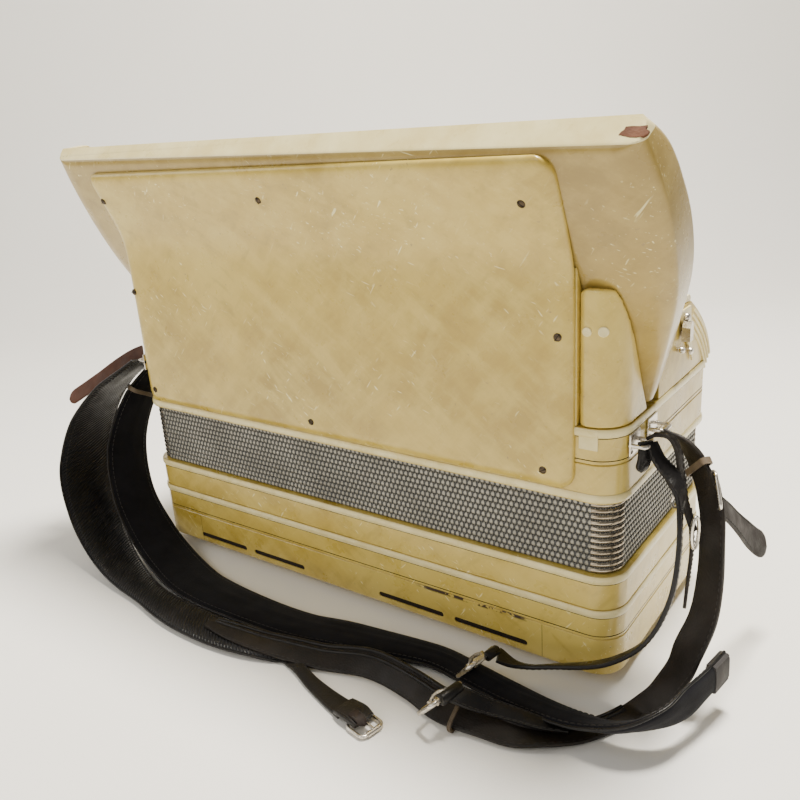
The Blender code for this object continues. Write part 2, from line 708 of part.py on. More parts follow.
def bracket(name, side, y_low, y_high):
    """A chrome keeper: a plate with a bar that stands off it for the strap."""
    face, z = CASE_X + GAP, BRACKET_Z
    outline = ((face, z - 0.0065), (face + 0.0125, z - 0.0065), (face + 0.0125, z + 0.0055), (face, z + 0.0055))
    keeper = prism(name, 1, [(side * x, h) for x, h in outline], y_low, y_high, METAL)
    window = ((face + 0.0020, z - 0.0042), (face + 0.0100, z - 0.0042), (face + 0.0100, z + 0.0032), (face + 0.0020, z + 0.0032))
    combine(keeper, prism(name + "_window", 1, [(side * x, h) for x, h in window], y_low - 0.01, y_high + 0.01))


def brackets():
    bracket("strap_bracket_left", -1, BRACKET_REAR_Y - 0.016, BRACKET_FRONT_Y + 0.014)
    bracket("strap_bracket_right_rear", 1, BRACKET_REAR_Y - 0.009, BRACKET_REAR_Y + 0.009)
    bracket("strap_bracket_right_front", 1, BRACKET_FRONT_Y - 0.009, BRACKET_FRONT_Y + 0.009)


def ribbon(name, stations, thickness, steps, surface):
    """A flat strap through stations of (centre, direction of its width, width)."""
    centres = [Vector(centre) for centre, _, _ in stations]
    knots = [0.0]
    for a, b in zip(centres, centres[1:]):
        knots.append(knots[-1] + (b - a).length)
    rows = [(*centre, *Vector(wide).normalized(), width) for centre, wide, width in stations]
    line = [smooth_through(knots, rows, knots[-1] * k / steps) for k in range(steps + 1)]
    rings = []
    for k, row in enumerate(line):
        ahead, behind = line[min(k + 1, steps)], line[max(k - 1, 0)]
        tangent = Vector(ahead[:3] - behind[:3]).normalized()
        wide = Vector(row[3:6])
        wide = (wide - tangent * wide.dot(tangent)).normalized()
        face = tangent.cross(wide)
        centre, half = Vector(row[:3]), row[6] / 2
        ring = []
        for across, off in ((1, 0.3), (0.9, 1), (-0.9, 1), (-1, 0.3), (-1, -0.3), (-0.9, -1), (0.9, -1), (1, -0.3)):
            ring.append(centre + wide * half * across + face * thickness / 2 * off)
        rings.append(ring)
    return loft(name, rings, surface)


# Each strap's stations: where its middle runs, which way its width points, and its width.
INNER_PAD = (
    ((-0.2545, -0.0430, 0.1680), (0.0, 1.0, 0.0), 0.026),
    ((-0.2700, -0.0740, 0.1300), (0.0, 1.0, 0.0), 0.040),
    ((-0.2740, -0.0960, 0.0850), (0.0, 1.0, 0.0), 0.044),
    ((-0.2560, -0.1110, 0.0460), (0.0, 1.0, 0.0), 0.044),
    ((-0.2200, -0.1230, 0.0160), (0.0, 1.0, 0.0), 0.046),
    ((-0.1750, -0.1350, -0.0010), (0.0, 1.0, 0.0), 0.046),
    ((-0.1280, -0.1475, -0.0036), (0.0, 1.0, 0.0), 0.043),
    ((-0.0990, -0.1507, -0.0036), (0.0, 1.0, 0.0), 0.041),
    ((-0.0650, -0.1517, -0.0036), (0.0, 1.0, 0.0), 0.038),
    ((-0.0340, -0.1513, -0.0036), (0.0, 1.0, 0.0), 0.036),
    ((-0.0030, -0.1487, -0.0036), (0.0, 1.0, 0.0), 0.035),
    ((0.0260, -0.1419, -0.0036), (0.0, 1.0, 0.0), 0.035),
    ((0.0580, -0.1360, -0.0036), (0.0, 1.0, 0.0), 0.032),
    ((0.0855, -0.1301, -0.0036), (0.0, 1.0, 0.0), 0.027),
    ((0.1100, -0.1273, -0.0036), (0.0, 1.0, 0.0), 0.025),
    ((0.1393, -0.1309, -0.0036), (0.0, 1.0, 0.0), 0.024),
    ((0.1701, -0.1361, -0.0030), (0.0, 1.0, 0.0), 0.023),
    ((0.2033, -0.1444, 0.0020), (0.0, 1.0, -0.1), 0.022),
    ((0.2352, -0.1496, 0.0080), (-0.2, 1.0, -0.3), 0.022),
    ((0.2631, -0.1465, 0.0140), (-0.4, 0.7, -0.7), 0.023),
    ((0.2807, -0.1341, 0.0190), (-0.3, 0.3, -1.0), 0.024),
    ((0.2900, -0.1150, 0.0215), (0.0, 0.0, -1.0), 0.024),
    ((0.2960, -0.0930, 0.0235), (0.0, 0.0, -1.0), 0.023),
    ((0.3005, -0.0700, 0.0250), (0.0, 0.0, -1.0), 0.022),
)
INNER_LEATHER = (
    ((0.2530, -0.0720, 0.1742), (0.0, 1.0, 0.0), 0.014),
    ((0.2650, -0.0800, 0.1600), (0.0, 1.0, 0.0), 0.014),
    ((0.2720, -0.0880, 0.1430), (0.0, 1.0, 0.0), 0.014),
    ((0.2750, -0.0930, 0.1150), (0.0, 1.0, 0.0), 0.014),
    ((0.2720, -0.0980, 0.0780), (0.0, 1.0, 0.0), 0.014),
    ((0.2600, -0.1020, 0.0500), (0.0, 1.0, -0.1), 0.014),
    ((0.2360, -0.1050, 0.0260), (0.0, 1.0, -0.2), 0.014),
    ((0.2010, -0.1100, 0.0120), (0.0, 0.9, -0.4), 0.014),
    ((0.1660, -0.1180, 0.0060), (0.0, 0.85, -0.5), 0.012),
)
OUTER_PAD = (
    ((-0.2545, -0.0790, 0.1700), (0.0, 1.0, 0.0), 0.024),
    ((-0.2820, -0.0960, 0.1470), (0.0, 1.0, 0.0), 0.036),
    ((-0.3020, -0.1120, 0.1120), (0.0, 1.0, 0.0), 0.042),
    ((-0.3040, -0.1280, 0.0700), (0.0, 1.0, 0.0), 0.044),
    ((-0.2780, -0.1450, 0.0330), (0.0, 1.0, 0.0), 0.042),
    ((-0.2430, -0.1590, 0.0090), (0.0, 1.0, 0.0), 0.034),
    ((-0.2050, -0.1700, -0.0010), (0.0, 1.0, 0.0), 0.029),
    ((-0.1540, -0.1812, -0.0036), (0.0, 1.0, 0.0), 0.026),
    ((-0.1200, -0.1868, -0.0036), (0.0, 1.0, 0.0), 0.030),
    ((-0.0870, -0.1892, -0.0036), (0.0, 1.0, 0.0), 0.032),
    ((-0.0520, -0.1895, -0.0036), (0.0, 1.0, 0.0), 0.031),
    ((-0.0160, -0.1865, -0.0036), (0.0, 1.0, 0.0), 0.027),
)
OUTER_LEATHER = (
    ((-0.0125, -0.1860, -0.0040), (0.0, 1.0, 0.0), 0.020),
    ((0.0350, -0.1740, -0.0010), (0.0, 0.9, 0.4), 0.020),
    ((0.0750, -0.1640, 0.0010), (0.0, 0.8, 0.6), 0.022),
    ((0.1150, -0.1680, 0.0010), (0.1, 0.8, 0.6), 0.022),
    ((0.1450, -0.1745, 0.0005), (0.1, 0.85, 0.5), 0.024),
    ((0.1750, -0.1720, 0.0000), (0.0, 0.9, 0.4), 0.025),
    ((0.1960, -0.1700, -0.0015), (-0.2, 0.95, 0.3), 0.023),
    ((0.2140, -0.1623, -0.0035), (-0.5, 0.8, -0.1), 0.021),
    ((0.2307, -0.1472, -0.0050), (-0.8, 0.5, 0.0), 0.018),
    ((0.2411, -0.1329, -0.0055), (-0.87, 0.47, 0.0), 0.016),
    ((0.2495, -0.1181, -0.0050), (-0.9, 0.42, 0.0), 0.015),
    ((0.2578, -0.1049, -0.0020), (-0.9, 0.42, 0.1), 0.016),
    ((0.2672, -0.0971, 0.0060), (-0.9, 0.35, 0.2), 0.018),
    ((0.2720, -0.0912, 0.0140), (-0.8, 0.5, 0.2), 0.020),
    ((0.2770, -0.0873, 0.0240), (-0.85, 0.5, 0.1), 0.022),
    ((0.2800, -0.0840, 0.0360), (-0.9, 0.42, 0.0), 0.023),
    ((0.2860, -0.0740, 0.0580), (-0.9, 0.42, 0.0), 0.022),
    ((0.2870, -0.0660, 0.0840), (-0.88, 0.47, 0.0), 0.021),
    ((0.2860, -0.0620, 0.1150), (-0.8, 0.6, 0.0), 0.020),
    ((0.2800, -0.0530, 0.1370), (-0.5, 0.85, 0.0), 0.019),
    ((0.2700, -0.0450, 0.1560), (-0.2, 0.97, 0.0), 0.018),
    ((0.2535, -0.0400, 0.1700), (0.0, 1.0, 0.0), 0.018),
)
BACK_STRAP = (
    ((0.0150, -0.1960, -0.0060), (0.3, 0.9, 0.0), 0.012),
    ((0.0430, -0.2000, -0.0060), (0.3, 0.9, 0.0), 0.014),
    ((0.0700, -0.2050, -0.0060), (0.3, 0.9, 0.0), 0.016),
    ((0.0900, -0.2090, -0.0060), (0.3, 0.9, 0.0), 0.018),
)
HAND_STRAP = (
    ((-0.1800, -0.0450, -0.0022), (0.0, 1.0, 0.0), 0.030),
    ((-0.1500, -0.0450, -0.0048), (0.0, 1.0, 0.0), 0.050),
    ((0.0, -0.0450, -0.0055), (0.0, 1.0, 0.0), 0.060),
    ((0.1500, -0.0450, -0.0048), (0.0, 1.0, 0.0), 0.050),
    ((0.1800, -0.0450, -0.0022), (0.0, 1.0, 0.0), 0.030),
)


def buckle(name, centre, along, across, long, wide, bar):
    """A rectangular roller buckle: a flat ring of square wire."""
    along, across = Vector(along).normalized(), Vector(across).normalized()
    across = (across - along * across.dot(along)).normalized()
    up = along.cross(across)
    rings = []
    for grow, lift in ((0.0, -1), (0.0, 1), (-bar, 1), (-bar, -1)):
        ring = []
        for sx, sy in ((1, 1), (-1, 1), (-1, -1), (1, -1)):
            point = along * sx * (long / 2 + grow) + across * sy * (wide / 2 + grow)
            ring.append(Vector(centre) + point + up * lift * bar / 2)
        rings.append(ring)
    loft(name, rings, METAL, closed=True, smooth=False)


def straps():
    ribbon("shoulder_strap_inner_pad", INNER_PAD, PAD_THICK, 38, VELVET)
    ribbon("shoulder_strap_inner_leather", INNER_LEATHER, LEATHER_THICK, 18, LEATHER)
    ribbon("shoulder_strap_outer_pad", OUTER_PAD, PAD_THICK, 22, VELVET)
    ribbon("shoulder_strap_outer_leather", OUTER_LEATHER, LEATHER_THICK, 34, LEATHER)
    ribbon("back_strap", BACK_STRAP, LEATHER_THICK, 6, LEATHER)
    ribbon("bass_hand_strap", HAND_STRAP, 0.0025, 8, LEATHER)
    buckle("inner_strap_buckle", (0.1490, -0.1260, 0.0070), (1, -0.2, 0.1), (0.2, 1, 0.0), 0.024, 0.032, 0.0026)
    buckle("outer_strap_buckle", (0.1490, -0.1820, 0.0125), (1, -0.2, 0.1), (0.2, 1, 0.0), 0.024, 0.032, 0.0026)
    buckle("back_strap_buckle", (0.1055, -0.2120, -0.0055), (1, -0.2, 0), (0.2, 1, 0), 0.020, 0.022, 0.0026)


def build():
    bass_cover()
    feet()
    frame_with_bead("bass_box", COVER_TOP + GAP, BASS_BOX_TOP, PEARL)
    frame_with_bead("bass_bellows_frame", BASS_BOX_TOP + GAP, BASS_FRAME_TOP, PEARL)
    bass_inside()
    bass_button_board()
    bass_button_rows()
    air_button()
    bellows()
    frame_with_bead("treble_bellows_frame", TREBLE_FRAME_LOW, TREBLE_FRAME_TOP, PEARL, TREBLE_FRAME_LOW + BEAD_TALL)
    frame_with_bead("treble_box", TREBLE_FRAME_TOP + GAP, TREBLE_BOX_TOP, PEARL)
    treble_inside()
    treble_back_frame()
    rear_cover()
    keyboard_bed()
    key_axles()
    keyboard()
    grille()
    grille_trim()
    treble_shift_lever()
    brackets()
    straps()


build()
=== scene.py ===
"""Looks of a full-size piano accordion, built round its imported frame.

Metres, in the frame's own axes: +X along the keyboard to its high-note end, -Y to the
player's side, +Z from the bass end through the bellows to the treble end.
"""

import math

import bmesh
import bpy
import numpy as np
from mathutils import Euler, Matrix, Vector, noise


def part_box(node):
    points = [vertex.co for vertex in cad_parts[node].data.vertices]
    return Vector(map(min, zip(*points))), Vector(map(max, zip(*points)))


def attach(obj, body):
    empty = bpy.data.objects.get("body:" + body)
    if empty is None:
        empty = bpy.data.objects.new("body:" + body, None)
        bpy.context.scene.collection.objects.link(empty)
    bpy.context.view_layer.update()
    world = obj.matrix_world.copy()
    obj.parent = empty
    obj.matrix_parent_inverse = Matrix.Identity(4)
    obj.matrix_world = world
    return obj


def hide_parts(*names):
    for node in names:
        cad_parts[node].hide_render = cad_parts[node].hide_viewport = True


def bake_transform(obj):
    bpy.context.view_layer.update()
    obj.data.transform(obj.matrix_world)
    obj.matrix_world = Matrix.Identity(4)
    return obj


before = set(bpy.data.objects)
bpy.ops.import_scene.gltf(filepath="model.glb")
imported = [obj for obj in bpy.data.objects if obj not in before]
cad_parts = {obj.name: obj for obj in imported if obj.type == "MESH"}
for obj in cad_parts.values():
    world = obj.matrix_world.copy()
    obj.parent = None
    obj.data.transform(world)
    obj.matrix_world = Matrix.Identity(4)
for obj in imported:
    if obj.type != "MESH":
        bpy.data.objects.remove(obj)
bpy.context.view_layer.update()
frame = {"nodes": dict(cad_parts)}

BASS, TREBLE = "bass_side", "treble_side"

# The case seen from above, and the levels where its sections meet, as in the CAD model.
CASE_X, CASE_Y, CORNER = 0.2350, 0.0947, 0.0210
CORNER_STEPS = 14
WALL = 0.0060
BEAD, BEAD_TALL = 0.0012, 0.0060
PLATE = 0.0035
LINE = 0.0006  # the dark seam lines
COVER_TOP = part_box("bass_cover")[1][2]
BOX_LOW, BOX_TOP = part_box("bass_box")[0][2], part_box("bass_box")[1][2]
FRAME_LOW, FRAME_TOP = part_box("bass_bellows_frame")[0][2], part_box("bass_bellows_frame")[1][2]
BELLOWS_LOW, BELLOWS_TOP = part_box("bellows")[0][2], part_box("bellows")[1][2]
TREBLE_LOW, TREBLE_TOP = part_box("treble_bellows_frame")[0][2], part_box("treble_bellows_frame")[1][2]
TREBLE_BOX_LOW, TREBLE_BOX_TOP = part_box("treble_box")[0][2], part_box("treble_box")[1][2]
FLOOR_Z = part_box("foot_front_left")[0][2]

# The leaning keyboard bed, the keys and the rear cover, as in the CAD model.
BED_FOOT, BED_LEAN = (-0.0465, 0.1890), math.radians(25.2)
BED_FLOOR, BED_RAIL_U = 0.0080, 0.1855
BED_END_U, BED_END_N = (0.1890, 0.1979), (0.0130, 0.0185)
KEY_START, KEY_LEAN = (-0.0185, 0.2415), math.radians(33.2)
WHITE_PITCH, WHITE_WIDE, KEY_LONG, KEY_THICK = 0.0198, 0.0190, 0.1480, 0.0120
BLACK_LONG, BLACK_WIDE, BLACK_TALL, BLACK_SLOT = 0.0930, 0.0100, 0.0080, 0.0112
KEY_INNER_X = 0.2283
OCTAVE_PARTS = ((4, (0, 1, 2)), (3, (0, 1))) * 3 + ((3, (0, 1)),)
COVER_X, COVER_Z, COVER_RISE = (-0.2190, 0.2050), (0.1420, 0.3545), 0.0180
COVER_Y, COVER_THICK, COVER_RIM, COVER_CORNER = -0.1010, 0.0025, 0.0060, 0.0125
COVER_SCREWS = (
    (-0.2115, 0.327), (-0.029, 0.330), (0.182, 0.330), (-0.2135, 0.246),
    (0.196, 0.247), (-0.2075, 0.155), (-0.0175, 0.155), (0.185, 0.155),
)

# The sound slots and the buttons of the bass end
SOUND_SLOTS = ((-0.181, -0.121), (-0.111, -0.050), (0.032, 0.095), (0.105, 0.168))
ROWS, ROW_PITCH, ROW_Y, ROW_SKEW = 6, 0.0105, 0.0188, 0.0008
BUTTONS, BUTTON_PITCH, BUTTON_R = 20, 0.015366, 0.0031
BUTTON_LOW, BUTTON_TOP = -0.0015, 0.0165

FOLDS = 12

# The camera's turn about Z from -Y, its tilt down and its roll, and where it stands
CAMERA_TURN, CAMERA_TILT, CAMERA_ROLL = math.radians(36.61), math.radians(19.47), math.radians(3.98)
CAMERA_AT, LENS = (0.4155, -0.5636, 0.3908), 38.03


# ------------------------------------------------------------------ materials


class Look:
    """A node material under construction. Its textures lie in the object's own space."""

    def __init__(self, name, rough=0.5, metal=0.0, **fixed):
        self.material = bpy.data.materials.new(name)
        self.material.use_nodes = True
        self.tree = self.material.node_tree
        self.shader = self.tree.nodes["Principled BSDF"]
        self.shader.inputs["Roughness"].default_value = rough
        self.shader.inputs["Metallic"].default_value = metal
        for socket, value in fixed.items():
            self.shader.inputs[socket.replace("_", " ").title().replace("Ior", "IOR")].default_value = value
        coords = self.tree.nodes.new("ShaderNodeTexCoord")
        self.space, self.uv = coords.outputs["Object"], coords.outputs["UV"]

    def put(self, socket, value):
        if isinstance(value, bpy.types.NodeSocket):
            self.tree.links.new(value, socket)
        elif socket.type == "RGBA":
            socket.default_value = (*value, 1.0) if isinstance(value, tuple) else (value, value, value, 1.0)
        else:
            socket.default_value = value

    def set(self, name, value):
        self.put(self.shader.inputs[name], value)

    def noise(self, scale, detail=3.0, rough=0.55, at=None):
        node = self.tree.nodes.new("ShaderNodeTexNoise")
        self.put(node.inputs["Vector"], at or self.space)
        self.put(node.inputs["Scale"], scale)
        self.put(node.inputs["Detail"], detail)
        self.put(node.inputs["Roughness"], rough)
        return node.outputs[0]

    def cells(self, scale):
        node = self.tree.nodes.new("ShaderNodeTexVoronoi")
        self.put(node.inputs["Vector"], self.space)
        self.put(node.inputs["Scale"], scale)
        return node.outputs["Distance"]

    def ramp(self, value, *stops):
        node = self.tree.nodes.new("ShaderNodeValToRGB")
        self.put(node.inputs[0], value)
        points = node.color_ramp.elements
        while len(points) < len(stops):
            points.new(0.5)
        for point, (where, colour) in zip(points, stops):
            point.position = where
            point.color = (*colour, 1.0) if isinstance(colour, tuple) else (colour, colour, colour, 1.0)
        return node.outputs[0]

    def mix(self, share, first, second):
        node = self.tree.nodes.new("ShaderNodeMix")
        node.data_type = "RGBA"
        self.put(node.inputs[0], share)
        self.put(node.inputs[6], first)
        self.put(node.inputs[7], second)
        return node.outputs[2]

    def calc(self, operation, first, second=0.0):
        node = self.tree.nodes.new("ShaderNodeMath")
        node.operation = operation
        self.put(node.inputs[0], first)
        self.put(node.inputs[1], second)
        return node.outputs[0]

    def turned(self, angles, scale):
        """The object's space turned and then stretched."""
        vector = self.space
        for key, value in (("Rotation", angles), ("Scale", scale)):
            node = self.tree.nodes.new("ShaderNodeMapping")
            self.put(node.inputs["Vector"], vector)
            node.inputs[key].default_value = value
            vector = node.outputs[0]
        return vector

    def split(self, vector):
        node = self.tree.nodes.new("ShaderNodeSeparateXYZ")
        self.put(node.inputs[0], vector)
        return node.outputs

    def between(self, value, low, high, soft):
        """1 between low and high, 0 outside, with soft edges."""
        mask = None
        for edge, start, end in ((low, 0.0, 1.0), (high, 1.0, 0.0)):
            node = self.tree.nodes.new("ShaderNodeMapRange")
            self.put(node.inputs["Value"], value)
            for key, number in (
                ("From Min", edge - soft), ("From Max", edge + soft), ("To Min", start), ("To Max", end)
            ):
                node.inputs[key].default_value = number
            mask = node.outputs[0] if mask is None else self.calc("MULTIPLY", mask, node.outputs[0])
        return mask

    def bump(self, height, distance, strength=1.0):
        """Adds a bump on top of the bumps that are already there."""
        node = self.tree.nodes.new("ShaderNodeBump")
        node.inputs["Strength"].default_value = strength
        node.inputs["Distance"].default_value = distance
        self.put(node.inputs["Height"], height)
        last = self.shader.inputs["Normal"]
        if last.is_linked:
            self.put(node.inputs["Normal"], last.links[0].from_socket)
        self.put(last, node.outputs[0])


def pearl(name, base, light, shade, chips=False):
    """Aged mother-of-pearl celluloid: cloudy, with fine pale needles and brown wear."""
    look = Look(name, rough=0.3, coat_weight=0.35, coat_roughness=0.12)
    clouds = look.noise(7.0, 3.0, 0.55)
    colour = look.ramp(clouds, (0.30, shade), (0.50, base), (0.75, light))
    for angles, share in (((0.3, 0.9, 0.2), 0.55), ((0.5, -0.7, 0.3), 0.45)):
        brushed = look.noise(1.0, 4.0, 0.62, look.turned(angles, (75.0, 75.0, 13.0)))
        colour = look.mix(look.ramp(brushed, (0.48, 0.0), (0.66, share)), colour, light)
        colour = look.mix(look.ramp(brushed, (0.30, share), (0.44, 0.0)), colour, shade)
    for angles, limit, fine in (
        ((0.3, 0.75, 0.1), 0.69, 480.0), ((-0.2, -0.65, 0.3), 0.70, 420.0), ((0.3, 1.25, 0.5), 0.71, 620.0)
    ):
        needle = look.noise(1.0, 1.5, 0.5, look.turned(angles, (fine, fine, fine / 17)))
        patchy = look.ramp(look.noise(11.0, 2.0), (0.45, 0.1), (0.62, 0.85))
        colour = look.mix(
            look.calc("MULTIPLY", look.ramp(needle, (limit, 0.0), (limit + 0.06, 1.0)), patchy), colour,
            NEEDLE
        )
    stains = look.noise(16.0, 5.0, 0.7)
    colour = look.mix(look.ramp(stains, (0.66, 0.0), (0.80, 0.45)), colour, STAIN)
    specks = look.noise(230.0, 2.0, 0.5)
    colour = look.mix(look.ramp(specks, (0.74, 0.0), (0.78, 0.6)), colour, STAIN)
    if chips:
        x, _, z = look.split(look.space)
        edge = look.calc(
            "MULTIPLY", look.between(z, 0.0282, 0.0310, 0.0007), look.between(x, 0.075, 0.168, 0.006)
        )
        ragged = look.ramp(look.noise(120.0, 3.0, 0.6), (0.50, 0.0), (0.53, 1.0))
        colour = look.mix(look.calc("MULTIPLY", edge, ragged), colour, BARE_WOOD)
    look.set("Base Color", colour)
    look.set("Roughness", look.ramp(look.noise(30.0, 4.0, 0.6), (0.3, 0.22), (0.7, 0.42)))
    look.bump(look.noise(14.0, 2.0, 0.5), 0.0005, 0.4)
    return look.material


def trim(name, base, light):
    """Plain celluloid for beads and buttons."""
    look = Look(name, rough=0.3, coat_weight=0.3, coat_roughness=0.15)
    look.set("Base Color", look.ramp(look.noise(40.0, 4.0, 0.6), (0.35, base), (0.65, light)))
    look.set("Roughness", look.ramp(look.noise(70.0), (0.3, 0.24), (0.7, 0.4)))
    return look.material


def woven():
    """Bellows cloth: a diamond weave of silver and black threads, laid along the folds."""
    look = Look("bellows_cloth", rough=0.5)
    u, v, _ = look.split(look.uv)
    _, _, z = look.split(look.space)
    around = math.pi / 0.0042
    upward = math.pi * FOLDS / (2.0 * (BELLOWS_TOP - BELLOWS_LOW))
    level = look.calc(
        "MULTIPLY", look.calc("ADD", z, -BELLOWS_LOW - (BELLOWS_TOP - BELLOWS_LOW) / FOLDS / 2), upward
    )
    waves = []
    for sign in (1.0, -1.0):
        slant = look.calc("ADD", look.calc("MULTIPLY", u, around), look.calc("MULTIPLY", level, sign))
        waves.append(look.calc("SINE", slant))
    lattice = look.calc("ABSOLUTE", look.calc("MULTIPLY", *waves))
    thread = look.calc(
        "SINE", look.calc("ADD", look.calc("MULTIPLY", v, 7000.0), look.calc("MULTIPLY", u, 7000.0))
    )
    silver = look.ramp(
        look.calc("ADD", lattice, look.calc("MULTIPLY", thread, 0.12)), (0.20, 0.0), (0.55, 1.0)
    )
    worn = look.ramp(look.noise(25.0, 3.0), (0.3, (0.27, 0.255, 0.21)), (0.7, (0.42, 0.40, 0.34)))
    look.set("Base Color", look.mix(silver, (0.045, 0.045, 0.046), worn))
    look.set("Metallic", look.calc("MULTIPLY", silver, 0.30))
    look.set("Roughness", look.ramp(silver, (0.0, 0.7), (1.0, 0.38)))
    look.bump(lattice, 0.0003)
    return look.material


def dark_cloth():
    look = Look("fold_cloth", rough=0.85)
    look.set("Base Color", look.ramp(look.noise(90.0), (0.3, 0.010), (0.7, 0.030)))
    look.bump(look.noise(900.0, 2.0), 0.0002)
    return look.material


def metal(name, base, worn, smooth=0.14, rough=0.36):
    look = Look(name, metal=1.0)
    patina = look.noise(60.0, 5.0, 0.65)
    look.set("Base Color", look.ramp(patina, (0.35, base), (0.75, worn)))
    look.set("Roughness", look.ramp(look.noise(110.0, 4.0, 0.6), (0.35, smooth), (0.75, rough)))
    look.bump(look.noise(400.0, 2.0), 0.00005, 0.6)
    return look.material


def velvet():
    look = Look("strap_velvet", rough=1.0, sheen_weight=0.06, sheen_roughness=0.5, specular_ior_level=0.15)
    look.set(
        "Base Color",
        look.ramp(look.noise(24.0, 5.0, 0.7), (0.3, (0.0035, 0.0035, 0.005)), (0.75, (0.010, 0.010, 0.014)))
    )
    look.bump(look.noise(1400.0, 2.0, 0.6), 0.0003, 0.7)
    look.bump(look.noise(45.0, 3.0), 0.0010, 0.5)
    return look.material


def leather(name, base, light, ribs=0.0, rough=0.42):
    """Leather with a fine pebbled grain, creases and, with ribs, slanting stitched rows whose hollows are
    painted darker as shade.
    """
    look = Look(name, rough=rough, specular_ior_level=0.3)
    grain = look.cells(700.0)
    colour = look.ramp(look.noise(30.0, 5.0, 0.65), (0.32, base), (0.72, light))
    if ribs:
        u, v, _ = look.split(look.uv)
        slant = look.calc("ADD", look.calc("MULTIPLY", u, ribs), look.calc("MULTIPLY", v, ribs * 0.8))
        row = look.calc("SINE", slant)
        # The hollows between the ribs are painted near-black: painted shade in the grooves.
        colour = look.mix(look.ramp(row, (0.1, 0.4), (0.5, 0.0)), colour, (0.003, 0.003, 0.003))
        look.bump(row, 0.0004, 0.7)
    look.set("Base Color", colour)
    look.set("Roughness", look.ramp(look.noise(85.0, 3.0), (0.3, rough - 0.1), (0.75, rough + 0.16)))
    look.bump(grain, 0.0002, 0.55)
    look.bump(look.noise(70.0, 4.0, 0.6), 0.0008, 0.35)
    return look.material


def wood():
    look = Look("wood", rough=0.6)
    grain = look.noise(1.0, 4.0, 0.6, look.turned((0.0, 0.0, 0.02), (9.0, 260.0, 260.0)))
    look.set("Base Color", look.ramp(grain, (0.35, (0.30, 0.16, 0.07)), (0.65, (0.50, 0.31, 0.16))))
    look.bump(grain, 0.0002, 0.5)
    return look.material


def rubber():
    look = Look("rubber", rough=0.8)
    look.set("Base Color", look.ramp(look.noise(120.0), (0.3, 0.012), (0.7, 0.035)))
    look.bump(look.noise(700.0), 0.0002)
    return look.material


def key_top(name, base, light, rough):
    look = Look(name, rough=rough, coat_weight=0.4, coat_roughness=0.06)
    look.set("Base Color", look.ramp(look.noise(22.0, 4.0, 0.6), (0.3, base), (0.7, light)))
    look.set("Roughness", look.ramp(look.noise(160.0, 4.0, 0.7), (0.3, rough), (0.8, rough + 0.18)))
    return look.material


def grille_cloth():
    look = Look("grille_cloth", rough=0.8)
    x, _, z = look.split(look.space)
    weave = look.calc(
        "MULTIPLY", look.calc("SINE", look.calc("MULTIPLY", x, 5200.0)),
        look.calc("SINE", look.calc("MULTIPLY", z, 5200.0))
    )
    look.set("Base Color", look.ramp(weave, (0.2, (0.020, 0.014, 0.008)), (0.7, (0.16, 0.12, 0.06))))
    look.bump(weave, 0.0003)
    return look.material


def table_cloth(name, low, high):
    look = Look(name, rough=0.9)
    look.set("Base Color", look.ramp(look.noise(2.0, 3.0), (0.3, low), (0.7, high)))
    look.bump(look.noise(600.0, 2.0), 0.0003, 0.4)
    return look.material


NEEDLE = (0.88, 0.80, 0.42)
STAIN = (0.26, 0.17, 0.07)
BARE_WOOD = (0.045, 0.024, 0.012)
# A darker copy of the pearl for the keyboard tray: partly the tray's own greyer tone, partly painted shade
# for its down-facing underside.
TRAY_PEARL_WITH_SHADE = pearl("tray_pearl_with_painted_shade", (0.344, 0.236, 0.053), (0.437, 0.316, 0.084), (0.269, 0.18, 0.034))
PEARL = pearl(
    "pearl_celluloid", (0.543, 0.39, 0.072), (0.66, 0.508, 0.13), (0.388, 0.268, 0.04), chips=True
)
BEADS = trim("bead_celluloid", (0.68, 0.565, 0.25), (0.80, 0.70, 0.37))
IVORY = trim("ivory_celluloid", (0.74, 0.66, 0.46), (0.82, 0.76, 0.58))
# Near-black look for the dark seam lines between the frames, and also painted shade in the screw slots and
# behind the sound slots.
SEAMS_AND_SHADE = leather("dark_seams_and_painted_shade", (0.010, 0.006, 0.004), (0.024, 0.016, 0.010), rough=0.8)
WEAVE = woven()
FOLD_CLOTH = dark_cloth()
CHROME = metal("chrome", (0.70, 0.68, 0.63), (0.50, 0.46, 0.38))
DULL_METAL = metal("dull_nickel", (0.80, 0.76, 0.69), (0.42, 0.37, 0.30), 0.20, 0.38)
BRONZED = metal("bronzed_metal", (0.46, 0.40, 0.31), (0.17, 0.13, 0.085), 0.22, 0.36)
DARK_METAL = metal("dark_screws", (0.10, 0.075, 0.05), (0.04, 0.03, 0.02), 0.35, 0.6)
STEEL = metal("steel", (0.55, 0.55, 0.56), (0.45, 0.44, 0.42), 0.22, 0.4)
VELVET = velvet()
LEATHER = leather("black_leather", (0.0040, 0.0036, 0.0040), (0.011, 0.009, 0.0085), rough=0.34)
WORN_LEATHER = leather("worn_leather", (0.0050, 0.0034, 0.0024), (0.016, 0.011, 0.0075), rough=0.48)
RIBBED = leather("ribbed_leather", (0.0045, 0.0045, 0.0055), (0.011, 0.010, 0.012), ribs=1900.0, rough=0.40)
BROWN = leather("brown_leather", (0.050, 0.016, 0.007), (0.105, 0.036, 0.016), rough=0.55)
DARK_BROWN = leather("dark_brown_leather", (0.006, 0.0030, 0.0022), (0.015, 0.0075, 0.005), rough=0.6)
TAN = leather("tan_leather", (0.075, 0.055, 0.035), (0.16, 0.12, 0.080), rough=0.5)
THREAD = leather("thread", (0.016, 0.014, 0.013), (0.034, 0.030, 0.027), rough=0.6)
BINDING = leather("grey_binding", (0.028, 0.026, 0.026), (0.055, 0.050, 0.050), rough=0.7)
WOOD = wood()
CHIP_WOOD = leather("bare_wood", (0.085, 0.028, 0.012), (0.20, 0.080, 0.036), rough=0.75)
RUBBER = rubber()
